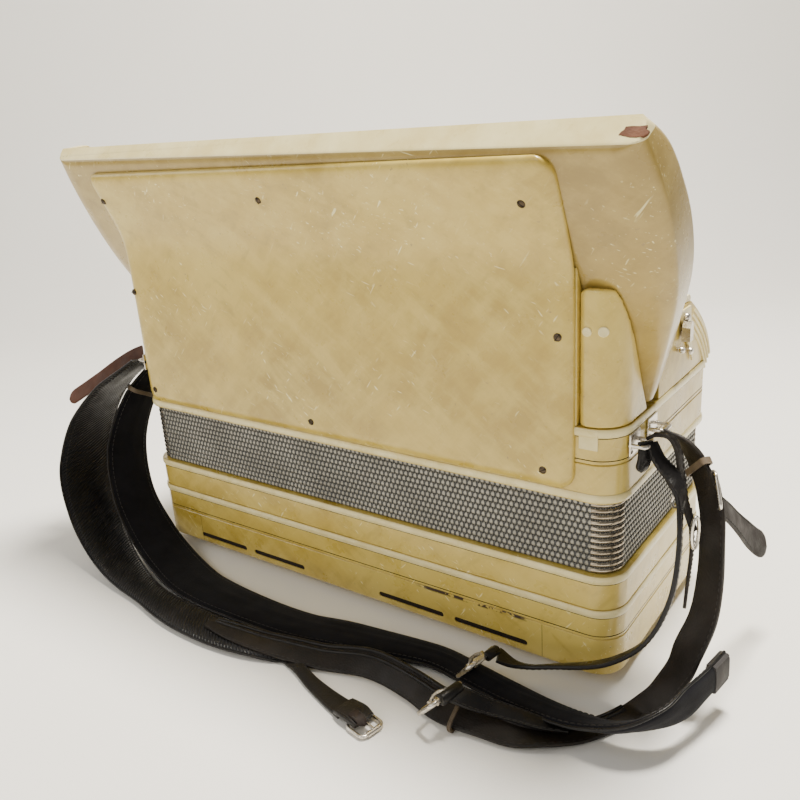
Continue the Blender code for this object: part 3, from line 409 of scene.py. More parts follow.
WHITE_KEY = key_top("white_key_top", (0.74, 0.70, 0.58), (0.82, 0.79, 0.69), 0.14)
BLACK_KEY = key_top("black_key_top", (0.006, 0.006, 0.007), (0.014, 0.013, 0.014), 0.12)
GRILLE_CLOTH = grille_cloth()


# ------------------------------------------------------------------ mesh tools


class Shapes:
    """Collects shapes and makes one mesh object of them."""

    def __init__(self):
        self.points, self.faces, self.which, self.uvs = [], [], [], []

    def add(self, points, faces, which=0, uvs=None):
        """which is one look's number, or one for each face; uvs has a list of pairs for each face."""
        start = len(self.points)
        self.points += [tuple(point) for point in points]
        self.faces += [tuple(start + i for i in face) for face in faces]
        self.which += which if isinstance(which, list) else [which] * len(faces)
        self.uvs += uvs if uvs else [[(0.0, 0.0)] * len(face) for face in faces]
        return self

    def make(self, name, looks, body, replaces=(), slot=None, sharp=38.0):
        mesh = bpy.data.meshes.new(name)
        mesh.from_pydata(self.points, [], self.faces)
        layer = mesh.uv_layers.new(name="UVMap")
        layer.data.foreach_set("uv", np.array([c for face in self.uvs for c in face], np.float32).ravel())
        for look in looks:
            mesh.materials.append(look)
        mesh.polygons.foreach_set("material_index", self.which)
        bm = bmesh.new()
        bm.from_mesh(mesh)
        bmesh.ops.recalc_face_normals(bm, faces=bm.faces)
        bm.to_mesh(mesh)
        bm.free()
        mesh.shade_smooth()
        mesh.set_sharp_from_angle(angle=math.radians(sharp))
        obj = bpy.data.objects.new(name, mesh)
        bpy.context.scene.collection.objects.link(obj)
        if body:
            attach(obj, body)
        if replaces:
            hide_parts(*replaces)
        return obj


def unpack(bm):
    """(points, faces) of a bmesh, which is freed."""
    bm.verts.index_update()
    points = [vertex.co.copy() for vertex in bm.verts]
    faces = [[vertex.index for vertex in face.verts] for face in bm.faces]
    bm.free()
    return points, faces


def rounded_prism(outline, low, high, place, radius=0.0, segments=2):
    """An outline of (a, b) pairs stretched from c = low to high, with rounded edges.

    place(a, b, c) gives each point's place.
    """
    bm = bmesh.new()
    face = bm.faces.new([bm.verts.new(place(a, b, low)) for a, b in outline])
    grown = bmesh.ops.extrude_face_region(bm, geom=[face])
    moved = [item for item in grown["geom"] if isinstance(item, bmesh.types.BMVert)]
    step = Vector(place(0.0, 0.0, high)) - Vector(place(0.0, 0.0, low))
    bmesh.ops.translate(bm, vec=step, verts=moved)
    bmesh.ops.recalc_face_normals(bm, faces=bm.faces)
    if radius:
        edges = [edge for edge in bm.edges if edge.calc_face_angle(0.0) > 0.45]
        bmesh.ops.bevel(
            bm, geom=edges, offset=radius, segments=segments, profile=0.5, affect="EDGES",
            clamp_overlap=True
        )
    return unpack(bm)


def rounded_box(low, high, radius, segments=2):
    outline = ((low[0], low[1]), (high[0], low[1]), (high[0], high[1]), (low[0], high[1]))
    return rounded_prism(outline, low[2], high[2], lambda a, b, c: (a, b, c), radius, segments)


def lathe(profile, centre, axis=(0.0, 0.0, 1.0), steps=32):
    """Turns (radius, height) points about an axis through centre."""
    turn = Vector(axis).to_track_quat("Z", "Y").to_matrix()
    points, faces = [], []
    for radius, height in profile:
        for k in range(steps):
            angle = 2 * math.pi * k / steps
            local = Vector((radius * math.cos(angle), radius * math.sin(angle), height))
            points.append(Vector(centre) + turn @ local)
    for i in range(len(profile) - 1):
        for k in range(steps):
            j = (k + 1) % steps
            faces.append((i * steps + k, i * steps + j, (i + 1) * steps + j, (i + 1) * steps + k))
    faces.append(tuple(range(steps)))
    last = (len(profile) - 1) * steps
    faces.append(tuple(range(last, last + steps)))
    return points, faces


def tube(path, radius, sides=10, closed=False):
    """A round wire along a path."""
    path = [Vector(point) for point in path]
    count = len(path)
    points, faces = [], []
    side = None
    for k, point in enumerate(path):
        ahead = path[(k + 1) % count] if closed or k < count - 1 else point
        behind = path[k - 1] if closed or k else point
        along = (ahead - behind).normalized()
        if side is None:
            side = along.orthogonal().normalized()
        side = (side - along * side.dot(along)).normalized()
        other = along.cross(side)
        for i in range(sides):
            angle = 2 * math.pi * i / sides
            points.append(point + (side * math.cos(angle) + other * math.sin(angle)) * radius)
    for k in range(count if closed else count - 1):
        for i in range(sides):
            j = (i + 1) % sides
            a, b = k * sides, (k + 1) % count * sides
            faces.append((a + i, a + j, b + j, b + i))
    if not closed:
        faces.append(tuple(range(sides)))
        faces.append(tuple(range((count - 1) * sides, count * sides)))
    return points, faces


def arc(centre, radius, start, end, steps):
    """Points of an arc, in degrees."""
    made = []
    for k in range(steps + 1):
        angle = math.radians(start + (end - start) * k / steps)
        made.append((centre[0] + radius * math.cos(angle), centre[1] + radius * math.sin(angle)))
    return made


def screw(shapes, centre, axis, radius=0.0026, turn=0.6, which=0):
    """A slotted screw head: a low dome with a thin near-black bar across it, painted shade that stands for
    the slot's groove.
    """
    dome = [
        (radius, -0.0008), (radius, 0.0001), (radius * 0.82, radius * 0.22), (radius * 0.45, radius * 0.34),
        (0.0001, radius * 0.38)
    ]
    shapes.add(*lathe(dome, centre, axis, 20), which)
    # The bar across the dome takes the second look: painted shade for the slot.
    facing = Vector(axis).to_track_quat("Z", "Y").to_matrix() @ Matrix.Rotation(turn, 3, "Z")
    points, faces = rounded_box(
        (-radius * 0.95, -0.0003, 0.0), (radius * 0.95, 0.0003, radius * 0.40), 0.00005, 1
    )
    shapes.add([Vector(centre) + facing @ Vector(point) for point in points], faces, which + 1)


def smooth_through(knots, values, at):
    """A smooth curve through the values, by piecewise cubics."""
    values = np.array(values, float)
    slopes = np.gradient(values, knots, axis=0)
    i = min(max(np.searchsorted(knots, at) - 1, 0), len(knots) - 2)
    width = knots[i + 1] - knots[i]
    s = (at - knots[i]) / width
    a = (1 + 2 * s) * (1 - s) ** 2 * values[i] + s * (1 - s) ** 2 * width * slopes[i]
    b = s * s * (3 - 2 * s) * values[i + 1] + s * s * (s - 1) * width * slopes[i + 1]
    return a + b


def applied(obj, *modifiers):
    """Adds modifiers as (type, settings) pairs and makes their result the mesh."""
    for kind, settings in modifiers:
        modifier = obj.modifiers.new(kind.lower(), kind)
        for key, value in settings.items():
            setattr(modifier, key, value)
    graph = bpy.context.evaluated_depsgraph_get()
    old = obj.data
    obj.data = bpy.data.meshes.new_from_object(obj.evaluated_get(graph))
    obj.modifiers.clear()
    bpy.data.meshes.remove(old)
    return obj


def cut(obj, shapes):
    """Cuts shapes, each (points, faces), out of an object."""
    cutters = []
    for k, (points, faces) in enumerate(shapes):
        mesh = bpy.data.meshes.new(f"cutter_{k}")
        mesh.from_pydata([tuple(point) for point in points], [], faces)
        bm = bmesh.new()
        bm.from_mesh(mesh)
        bmesh.ops.recalc_face_normals(bm, faces=bm.faces)
        bm.to_mesh(mesh)
        bm.free()
        cutter = bpy.data.objects.new(f"cutter_{k}", mesh)
        bpy.context.scene.collection.objects.link(cutter)
        cutters.append(cutter)
    bpy.context.view_layer.update()
    settings = {"operation": "DIFFERENCE", "solver": "EXACT"}
    applied(obj, *[("BOOLEAN", {**settings, "object": cutter}) for cutter in cutters])
    for cutter in cutters:
        bpy.data.objects.remove(cutter)
    obj.data.shade_smooth()
    obj.data.set_sharp_from_angle(angle=math.radians(35))
    return obj


# ------------------------------------------------------------------- the case


def case_outline(offset, steps=CORNER_STEPS):
    """(x, y) points round the case, grown outwards by offset."""
    points = []
    for quarter, (sx, sy) in enumerate(((1, 1), (-1, 1), (-1, -1), (1, -1))):
        centre = (sx * (CASE_X - CORNER), sy * (CASE_Y - CORNER))
        points += arc(centre, CORNER + offset, 90 * quarter, 90 * (quarter + 1), steps)
    return points


def case_ring(shapes, section):
    """A ring round the case. Each section point is (offset, height, look of the face after it)."""
    base = case_outline(0.0)
    count = len(base)
    around = [0.0]
    for i in range(count):
        around.append(around[-1] + math.dist(base[i], base[(i + 1) % count]))
    points, faces, which, uvs = [], [], [], []
    for offset, height, _ in section:
        points += [(x, y, height) for x, y in case_outline(offset)]
    climb = 0.0
    for k, (offset, height, look) in enumerate(section):
        after = section[(k + 1) % len(section)]
        rise = math.dist((offset, height), after[:2])
        a, b = k * count, (k + 1) % len(section) * count
        for i in range(count):
            j = (i + 1) % count
            faces.append((a + i, a + j, b + j, b + i))
            which.append(look)
            near, far = around[i], around[i + 1]
            uvs.append([(near, climb), (far, climb), (far, climb + rise), (near, climb + rise)])
        climb += rise
    shapes.add(points, faces, which, uvs)


def outer_face(low, top, beads=(), lines=()):
    """The outer side of a frame's section from its lower edge up: rounded beads and dark lines."""
    soft = 0.0005
    section = [(-soft, low, 0), (0.0, low + soft, 0)]
    marks = [(bead, "bead") for bead in beads] + [(line, "line") for line in lines]
    for height, kind in sorted(marks):
        if kind == "line":
            section += [
                (0.0, height, 1), (-0.0006, height + 0.0001, 1), (-0.0006, height + LINE, 1),
                (0.0, height + LINE + 0.0001, 0)
            ]
            continue
        under = height - LINE
        section += [(0.0, under, 1), (-0.0005, under + 0.0001, 1), (-0.0003, height, 2)]
        for k in range(1, 8):
            angle = math.pi * k / 8
            section.append(
                (BEAD * math.sin(angle) ** 0.8, height + BEAD_TALL * (1 - math.cos(angle)) / 2, 2)
            )
        section.append((0.0, height + BEAD_TALL, 0))
    if section[-1][1] < top - soft:
        section.append((0.0, top - soft, 0))
    section.append((-soft, top, 0))
    return section


def case_frames():
    """The four wooden frames that the bellows and the two ends are built on."""
    for node, body, low, top, beads, lines in (
        ("bass_box", BASS, BOX_LOW, BOX_TOP, (BOX_TOP - BEAD_TALL,), (BOX_LOW + 0.0022,)),
        ("bass_bellows_frame", BASS, FRAME_LOW, FRAME_TOP, (FRAME_TOP - BEAD_TALL,), ()),
        ("treble_bellows_frame", TREBLE, TREBLE_LOW, TREBLE_TOP, (TREBLE_LOW + LINE,), ()),
        (
            "treble_box", TREBLE, TREBLE_BOX_LOW, TREBLE_BOX_TOP, (TREBLE_BOX_TOP - BEAD_TALL,),
            (TREBLE_BOX_LOW + 0.0024,)
        ),
    ):
        section = [(-WALL, top, 0), (-WALL, low, 0)] + outer_face(low, top, beads, lines)
        shapes = Shapes()
        case_ring(shapes, section)
        shapes.make(node + "_shell", (PEARL, SEAMS_AND_SHADE, BEADS), body, (node,), "pearl_celluloid")


def stadium(x_low, x_high, z_low, z_high, y_low, y_high):
    """A slot with round ends, as a cutter along Y."""
    radius, middle = (z_high - z_low) / 2, (z_high + z_low) / 2
    outline = arc((x_high - radius, middle), radius, -90, 90, 8)
    outline += arc((x_low + radius, middle), radius, 90, 270, 8)
    return rounded_prism(outline, y_low, y_high, lambda a, b, c: (a, c, b))


def bass_end():
    """The pan at the bass end, with sound slots, a button well and a joint in its covering."""
    curve = [
        (-0.0040 + 0.0040 * math.sin(a), 0.0040 - 0.0040 * math.cos(a))
        for a in np.linspace(0, math.pi / 2, 8)
    ]
    rings = curve + [
        (0.0, COVER_TOP - 0.0005), (-0.0005, COVER_TOP), (-0.0040, COVER_TOP), (-0.0040, PLATE)
    ]
    outline_count = len(case_outline(0.0))
    points, faces = [], []
    for offset, height in rings:
        points += [(x, y, height) for x, y in case_outline(offset)]
    for k in range(len(rings) - 1):
        for i in range(outline_count):
            j = (i + 1) % outline_count
            a, b = k * outline_count, (k + 1) * outline_count
            faces.append((a + i, a + j, b + j, b + i))
    faces.append(tuple(range(outline_count)))
    faces.append(tuple(range((len(rings) - 1) * outline_count, len(rings) * outline_count)))
    cover = Shapes().add(points, faces).make(
        "bass_end_pan", (PEARL,), BASS, ("bass_cover",), "pearl_celluloid"
    )
    cutters = [stadium(left, right, 0.0070, 0.0116, -0.105, -0.085) for left, right in SOUND_SLOTS]
    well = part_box("bass_button_board")
    half, y_low, y_high = well[1][0] - 0.006, well[0][1] + 0.006, well[1][1] - 0.006
    cutters.append(rounded_box((-half, y_low, -0.02), (half, y_high, 0.02), 0.002, 3))
    cutters.append(lathe([(0.0031, -0.01), (0.0031, 0.01)], (-0.205, 0.020, 0.0)))
    cut(cover, cutters)
    # A near-black plug a little inside each sound slot: painted shade for the dark space behind the slots.
    slot_shade = Shapes()
    for left, right in SOUND_SLOTS:
        slot_shade.add(*stadium(left - 0.0003, right + 0.0003, 0.0067, 0.0119, -0.0938, -0.0905))
    slot_shade.make("slot_painted_shade", (SEAMS_AND_SHADE,), BASS, slot="bellows_cloth")
    marks = Shapes()
    for x in (0.1798, -0.1801):
        marks.add(
            *rounded_box((x, -0.09478, 0.0030), (x + 0.0003, -0.0942, COVER_TOP - 0.0006), 0.00005, 1)
        )
    marks.make("cover_joints", (SEAMS_AND_SHADE,), BASS, slot="leather")
    for row in ("front", "rear"):
        for side in ("left", "right"):
            low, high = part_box(f"foot_{row}_{side}")
            centre = ((low[0] + high[0]) / 2, (low[1] + high[1]) / 2, 0.0)
            radius = (high[0] - low[0]) / 2
            profile = [
                (radius - 0.0002, high[2]), (radius, high[2] - 0.001), (radius, low[2] + 0.0022),
                (radius - 0.0006, low[2] + 0.0007)
            ]
            profile += [
                (radius - 0.0022, low[2]), (0.0035, low[2]), (0.0030, low[2] + 0.0015),
                (0.0001, low[2] + 0.0015)
            ]
            foot = Shapes().add(*lathe(profile, centre))
            foot.make(f"rubber_foot_{row}_{side}", (RUBBER,), BASS, (f"foot_{row}_{side}",), "rubber")


def bass_buttons():
    """Six staggered rows of twenty round buttons."""
    for row in range(ROWS):
        y = ROW_Y + row * ROW_PITCH
        skew = (row - (ROWS - 1) / 2) * ROW_SKEW
        low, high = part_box(f"bass_button_row_{row + 1}")
        shapes = Shapes()
        shapes.add(*rounded_box((low[0], low[1], high[2] - 0.0026), high, 0.0004))
        r, end = BUTTON_R, BUTTON_LOW
        profile = [
            (0.0001, end), (r * 0.5, end + 0.0001), (r * 0.82, end + 0.0005), (r * 0.97, end + 0.0013),
            (r, end + 0.0022)
        ]
        profile += [(r, BUTTON_TOP - 0.0006), (r - 0.0004, BUTTON_TOP)]
        for i in range(BUTTONS):
            x = (i - (BUTTONS - 1) / 2) * BUTTON_PITCH + skew
            shapes.add(*lathe(profile, (x, y, 0.0), steps=20))
        shapes.make(
            f"button_row_{row + 1}", (IVORY,), f"bass_row_{row + 1}", (f"bass_button_row_{row + 1}",),
            "ivory_celluloid"
        )


# ----------------------------------------------------------------- the bellows


def bellows():
    """Twelve deep folds. Their tips wear woven cloth, their sides plain cloth and their corners metal."""
    pitch = (BELLOWS_TOP - BELLOWS_LOW) / FOLDS
    tip, valley, back = -0.0034, -0.0130, -0.0165
    section = [(back, BELLOWS_TOP, 1), (back, BELLOWS_LOW, 1), (valley, BELLOWS_LOW, 1)]
    corners = Shapes()
    for fold in range(FOLDS):
        low = BELLOWS_LOW + fold * pitch
        middle, half = low + pitch / 2, pitch * 0.47
        for k in range(9):
            angle = math.pi * k / 8
            out = tip - 0.0016 + 0.0016 * math.sin(angle) ** 0.7
            section.append((out, middle - half * math.cos(angle), 0 if k < 8 else 1))
        section.append((valley, low + pitch, 1))
        corner_caps(corners, middle, half, tip)
    shapes = Shapes()
    case_ring(shapes, section)
    cloth = shapes.make("bellows_folds", (WEAVE, FOLD_CLOTH), None, ("bellows",), "bellows_cloth")
    metal_corners = corners.make("bellows_corners", (BRONZED,), None, slot="chrome")
    for piece in (cloth, metal_corners):
        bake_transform(piece)


def corner_caps(shapes, middle, half, tip):
    """A bent metal cap over one fold at each of the four corners."""
    thick = 0.0004
    arch = []
    for k in range(7):
        angle = math.pi * k / 6
        arch.append(
            (tip - 0.0019 + thick + 0.0019 * math.sin(angle) ** 0.8, middle - half * 0.86 * math.cos(angle))
        )
    arch += [(tip - 0.0034, middle + half * 0.7), (tip - 0.0034, middle - half * 0.7)]
    for quarter, (sx, sy) in enumerate(((1, 1), (-1, 1), (-1, -1), (1, -1))):
        rows = []
        for offset, height in arch:
            line = arc(
                (sx * (CASE_X - CORNER), sy * (CASE_Y - CORNER)), CORNER + offset, 90 * quarter + 4,
                90 * quarter + 86, 12
            )
            rows.append([(x, y, height) for x, y in line])
        count = len(rows[0])
        points = [point for row in rows for point in row]
        faces = []
        for k in range(len(rows)):
            for i in range(count - 1):
                a, b = k * count, (k + 1) % len(rows) * count
                faces.append((a + i, a + i + 1, b + i + 1, b + i))
        faces.append(tuple(k * count for k in range(len(rows))))
        faces.append(tuple(k * count + count - 1 for k in range(len(rows))))
        shapes.add(points, faces)


# -------------------------------------------------------------- the treble end


def bed_point(u, n):
    """(y, z) of a point of the keyboard bed: u up its underside, n off it to the front."""
    y = BED_FOOT[0] - u * math.sin(BED_LEAN) + n * math.cos(BED_LEAN)
    z = BED_FOOT[1] + u * math.cos(BED_LEAN) + n * math.sin(BED_LEAN)
    return y, z


def key_point(t, h):
    """(y, z) of a point of the keys: t along their tops to the hand, h off them."""
    y = KEY_START[0] - t * math.sin(KEY_LEAN) + h * math.cos(KEY_LEAN)
    z = KEY_START[1] + t * math.cos(KEY_LEAN) + h * math.sin(KEY_LEAN)
    return y, z


def cover_face(z):
    flat = -COVER_Y
    lean = -BED_FOOT[0] + math.tan(BED_LEAN) * (z - BED_FOOT[1]) + 0.0058
    return -0.5 * (flat + lean + math.hypot(flat - lean, 0.006))


def rear_cover():
    """A panel with a pillow edge and rounded corners, fixed by eight screws."""
    tall, edge = COVER_Z[1] - COVER_Z[0], 0.0105
    border = edge * (1 - np.cos(np.linspace(0, math.pi / 2, 9)))
    steps_z = np.concatenate(
        [border, np.linspace(edge + 0.001, 0.022, 9), np.linspace(0.026, tall - 0.026, 44)]
    )
    steps_z = np.concatenate([steps_z, tall - np.linspace(0.022, edge + 0.001, 9), tall - border[::-1]])

    def stand(distance):
        share = min(distance / edge, 1.0)
        return COVER_RIM * math.sqrt(max(1 - (1 - share) ** 2, 0.0))

    front, back, count = [], [], 0
    for dz in steps_z:
        from_end = min(dz, tall - dz)
        inset = 0.0
        if from_end < COVER_CORNER:
            inset = COVER_CORNER - math.sqrt(COVER_CORNER**2 - (COVER_CORNER - from_end) ** 2)
        left, right = COVER_X[0] + inset, COVER_X[1] - inset
        flat = np.linspace(left + edge + 0.002, right - edge - 0.002, 70)
        xs = [*(left + border), *flat, *(right - border[::-1])]
        count = len(xs)
        for x in xs:
            z = COVER_Z[0] + dz * (1 + COVER_RISE * x / tall)
            out = stand(min(from_end, x - left, right - x))
            y = cover_face(z) + COVER_RIM - out
            front.append((x, y, z))
            back.append(
                (x, min(cover_face(z) + COVER_RIM - 0.0001, y + COVER_THICK), z)
                if out > 0.0002 else (x, y, z)
            )
    rows = len(steps_z)
    points, faces, twin = list(front), [], {}
    for k, point in enumerate(back):
        twin[k] = k if point == front[k] else len(points)
        if twin[k] != k:
            points.append(point)
    for j in range(rows - 1):
        for i in range(count - 1):
            loop = [j * count + i, j * count + i + 1, (j + 1) * count + i + 1, (j + 1) * count + i]
            faces.append(tuple(loop))
            rear = [twin[k] for k in reversed(loop)]
            if sorted(rear) != sorted(loop):
                faces.append(tuple(rear))
    cover = Shapes().add(points, faces)
    cover.make("rear_panel", (PEARL,), TREBLE, ("rear_cover",), "pearl_celluloid", sharp=60.0)
    screws = Shapes()
    for k, (x, z) in enumerate(COVER_SCREWS):
        slope = (cover_face(z + 0.001) - cover_face(z - 0.001)) / 0.002
        axis = Vector((0.0, -1.0, slope)).normalized()
        screw(screws, Vector((x, cover_face(z), z)), axis, 0.0027, turn=0.5 + 0.9 * k)
    screws.make("cover_screws", (DARK_METAL, SEAMS_AND_SHADE), TREBLE, slot="steel")


def back_frame():
    """The wedge behind the rear cover, and the rounded shoulder with its two plugs."""
    low, apex, slope = TREBLE_BOX_TOP + 0.0004, 0.2898, math.tan(BED_LEAN)

    def under_bed(z):
        return BED_FOOT[0] - slope * (z - BED_FOOT[1]) - 0.0008

    wedge = ((-CASE_Y, low), (under_bed(low), low), (under_bed(apex), apex), (-CASE_Y, apex - 0.002))
    shapes = Shapes()
    shapes.add(*rounded_prism(wedge, -0.2130, 0.2060, lambda a, b, c: (c, a, b), 0.0008))
    shapes.make("back_wedge", (PEARL,), TREBLE, slot="pearl_celluloid")
    plan = arc((0.2125, -CASE_Y + 0.0065), 0.0065, 180, 270, 8)
    plan += arc((CASE_X - CORNER, -CASE_Y + CORNER), CORNER, -90, 0, 14)[1:]
    plan += [(CASE_X, -0.030), (0.2060, -0.030)]
    shoulder = Shapes().add(*rounded_prism(plan, low, 0.30, lambda a, b, c: (a, b, c)))
    shoulder = shoulder.make("shoulder", (PEARL,), TREBLE, ("treble_back_frame",), "pearl_celluloid")
    top = arc((0.2240, 0.2610), 0.0160, 0, 90, 12) + arc((0.2130, 0.2690), 0.0080, 90, 180, 8)
    above = [
        (0.2400, 0.2400), *top, (0.2050, 0.2400), (0.19, 0.2400), (0.19, 0.32), (0.26, 0.32), (0.26, 0.2400)
    ]
    beyond = ((under_bed(0.17), 0.17), (0.05, 0.17), (0.05, 0.35), (under_bed(0.35), 0.35))
    cut(
        shoulder,
        [
            rounded_prism(above, -0.12, 0.0, lambda a, b, c: (a, c, b)),
            rounded_prism(beyond, 0.19, 0.26, lambda a, b, c: (c, a, b))
        ]
    )
    applied(
        shoulder, ("REMESH", {"mode": "VOXEL", "voxel_size": 0.0009}),
        ("SMOOTH", {"iterations": 10, "factor": 0.6})
    )
    shoulder.data.shade_smooth()
    if not shoulder.data.materials:
        shoulder.data.materials.append(PEARL)
    plugs = Shapes()
    for x, z, r in ((0.2125, 0.2505, 0.0031), (0.2225, 0.2510, 0.0034)):
        turn = max(0.0, (x - (CASE_X - CORNER)) / CORNER)
        centre = (x, -CASE_Y + CORNER * (1 - math.sqrt(1 - turn * turn)), z)
        axis = (turn, -math.sqrt(1 - turn * turn), 0.0)
        profile = [(r, -0.001), (r, 0.0003), (r * 0.85, 0.0007), (r * 0.3, 0.0006), (0.0001, 0.0006)]
        plugs.add(*lathe(profile, centre, axis, 28))
    plugs.make("shoulder_plugs", (BEADS,), TREBLE, slot="ivory_celluloid")


def keyboard_bed():
    """A leaning tray: its end cheeks bulge outwards, and a rail closes its outer end."""
    outer_u = (0.0, 0.0508, 0.0895, 0.1249, 0.1702, 0.1979)
    outer_x = (0.2355, 0.2515, 0.2615, 0.2640, 0.2600, 0.2540)
    cheek_u = (0.0, 0.0492, 0.0955, 0.1457, 0.1818, 0.1979)
    cheek_n = (0.0220, 0.0387, 0.0436, 0.0403, 0.0319, 0.0200)
    rise = (BED_END_U[1] - BED_END_U[0]) / BED_END_N[1]
    levels = [
        *np.linspace(0.0, 0.1835, 64), BED_RAIL_U, BED_RAIL_U + 0.0005, 0.1872, 0.1882, 0.1891, 0.1898,
        0.1903, 0.1907, None
    ]
    points, faces, count = [], [], 0
    for u in levels:
        level = BED_END_U[1] if u is None else u
        curl = min(max((level - 0.1830) / 0.0080, 0.0), 1.0)
        lowest = 0.0050 * (1.0 - math.sqrt(1.0 - curl * curl))
        xo = float(smooth_through(outer_u, outer_x, level))
        nf = float(smooth_through(cheek_u, cheek_n, level))
        rail = u is None or u >= BED_RAIL_U
        xi, r, turn = min(0.2384, xo - 0.0035), 0.0075, 0.0200
        inner = max(xo - r, xi + 0.001)
        half = [(0.08, 0.0), (0.16, 0.0)]
        half += [
            (xo - turn + turn * math.sin(a), 0.45 * turn * (1 - math.cos(a)))
            for a in np.linspace(0, math.pi / 2, 15)
        ]
        half += [(xo, (0.45 * turn + nf - r) * 0.5)]
        half += [
            (inner + (xo - inner) * math.cos(a), nf - r + r * math.sin(a))
            for a in np.linspace(0, math.pi / 2, 9)
        ]
        half += [
            (xi + 0.0006, nf - 0.0002), (xi, nf - 0.001), (xi, BED_FLOOR), (0.16, BED_FLOOR),
            (0.08, BED_FLOOR), (0.0, BED_FLOOR)
        ]
        section = [(0.0, 0.0)] + half + [(-x, n) for x, n in reversed(half[:-1])]
        count = len(section)
        for x, n in section:
            edge = BED_END_N[0] + (BED_END_N[1] - BED_END_N[0]) * (x / CASE_X + 1) / 2
            if rail and abs(x) <= xi + 1e-6 and n == BED_FLOOR:
                n = edge
            at = level
            n = max(n, lowest)
            if u is None:
                n = min(n, edge)
                at = BED_END_U[0] + rise * n
            points.append((x, *bed_point(at, n)))
    for k in range(len(levels) - 1):
        for i in range(count):
            j = (i + 1) % count
            a, b = k * count, (k + 1) * count
            faces.append((a + i, a + j, b + j, b + i))
    faces.append(tuple(range(count)))
    faces.append(tuple(range((len(levels) - 1) * count, len(levels) * count)))
    rim = len(levels) - 4
    which = [1 if k // count >= rim else 0 for k in range((len(levels) - 1) * count)] + [0, 1]
    # The tray's pearl is darker, partly its own tone and partly painted shade for its down-facing
    # underside.
    Shapes().add(points, faces, which).make(
        "keyboard_tray", (TRAY_PEARL_WITH_SHADE, BEADS), TREBLE, ("keyboard_bed",), "pearl_celluloid", sharp=32.0
    )


def thick_line(start, end, thickness):
    dy, dz = end[0] - start[0], end[1] - start[1]
    long = math.hypot(dy, dz)
    ny, nz = -dz / long * thickness / 2, dy / long * thickness / 2
    return (
        (start[0] + ny, start[1] + nz), (end[0] + ny, end[1] + nz), (end[0] - ny, end[1] - nz),
        (start[0] - ny, start[1] - nz)
    )


def key_works(shapes, node, lever_start, lever_end, thickness, pad_y, look):
    """The hidden lever of a group of keys and the pad that it lifts."""
    low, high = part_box(node)
    x_low, x_high = max(low[0], -KEY_INNER_X), min(high[0], KEY_INNER_X)
    shapes.add(
        *rounded_prism(
            thick_line(lever_start, lever_end, thickness), x_low, x_high, lambda a, b, c: (c, a, b)
        ),
        look
    )
    shapes.add(*rounded_box((x_low, pad_y[0], low[2]), (x_high, pad_y[1], low[2] + 0.010), 0.0006), look)


def white_keys(group, left, whites, blacks):
    shapes = Shapes()
    gap, half_slot = (WHITE_PITCH - WHITE_WIDE) / 2, BLACK_SLOT / 2
    for i in range(whites):
        x = left + i * WHITE_PITCH
        near, far = x + gap, x + WHITE_PITCH - gap
        left_stem = x + half_slot if i - 1 in blacks else near
        right_stem = x + WHITE_PITCH - half_slot if i in blacks else far
        shoulder = BLACK_LONG + 0.002
        outline = [(left_stem, -0.0130), (right_stem, -0.0130)]
        outline += [(right_stem, shoulder), (far, shoulder)] if i in blacks else []
        outline += [(far, KEY_LONG), (near, KEY_LONG)]
        outline += [(near, shoulder), (left_stem, shoulder)] if i - 1 in blacks else []
        shapes.add(
            *rounded_prism(outline, -KEY_THICK, 0.0, lambda a, b, c: (a, *key_point(b, c)), 0.0008, 3)
        )
    node = f"white_keys_{group}"
    x_low, x_high = max(left, -KEY_INNER_X) + 0.0003, min(left + whites * WHITE_PITCH, KEY_INNER_X) - 0.0003
    bar = ((x_low, -0.0370), (x_high, -0.0370), (x_high, -0.0135), (x_low, -0.0135))
    shapes.add(*rounded_prism(bar, -KEY_THICK, -0.0005, lambda a, b, c: (a, *key_point(b, c)), 0.0008), 1)
    key_works(shapes, node, key_point(-0.0340, -0.0060), (0.0400, 0.1935), 0.0030, (0.0390, 0.0520), 1)
    shapes.make(
        f"white_keys_group_{group}", (WHITE_KEY, WOOD), f"white_group_{group}", (node,), "white_key_top"
    )


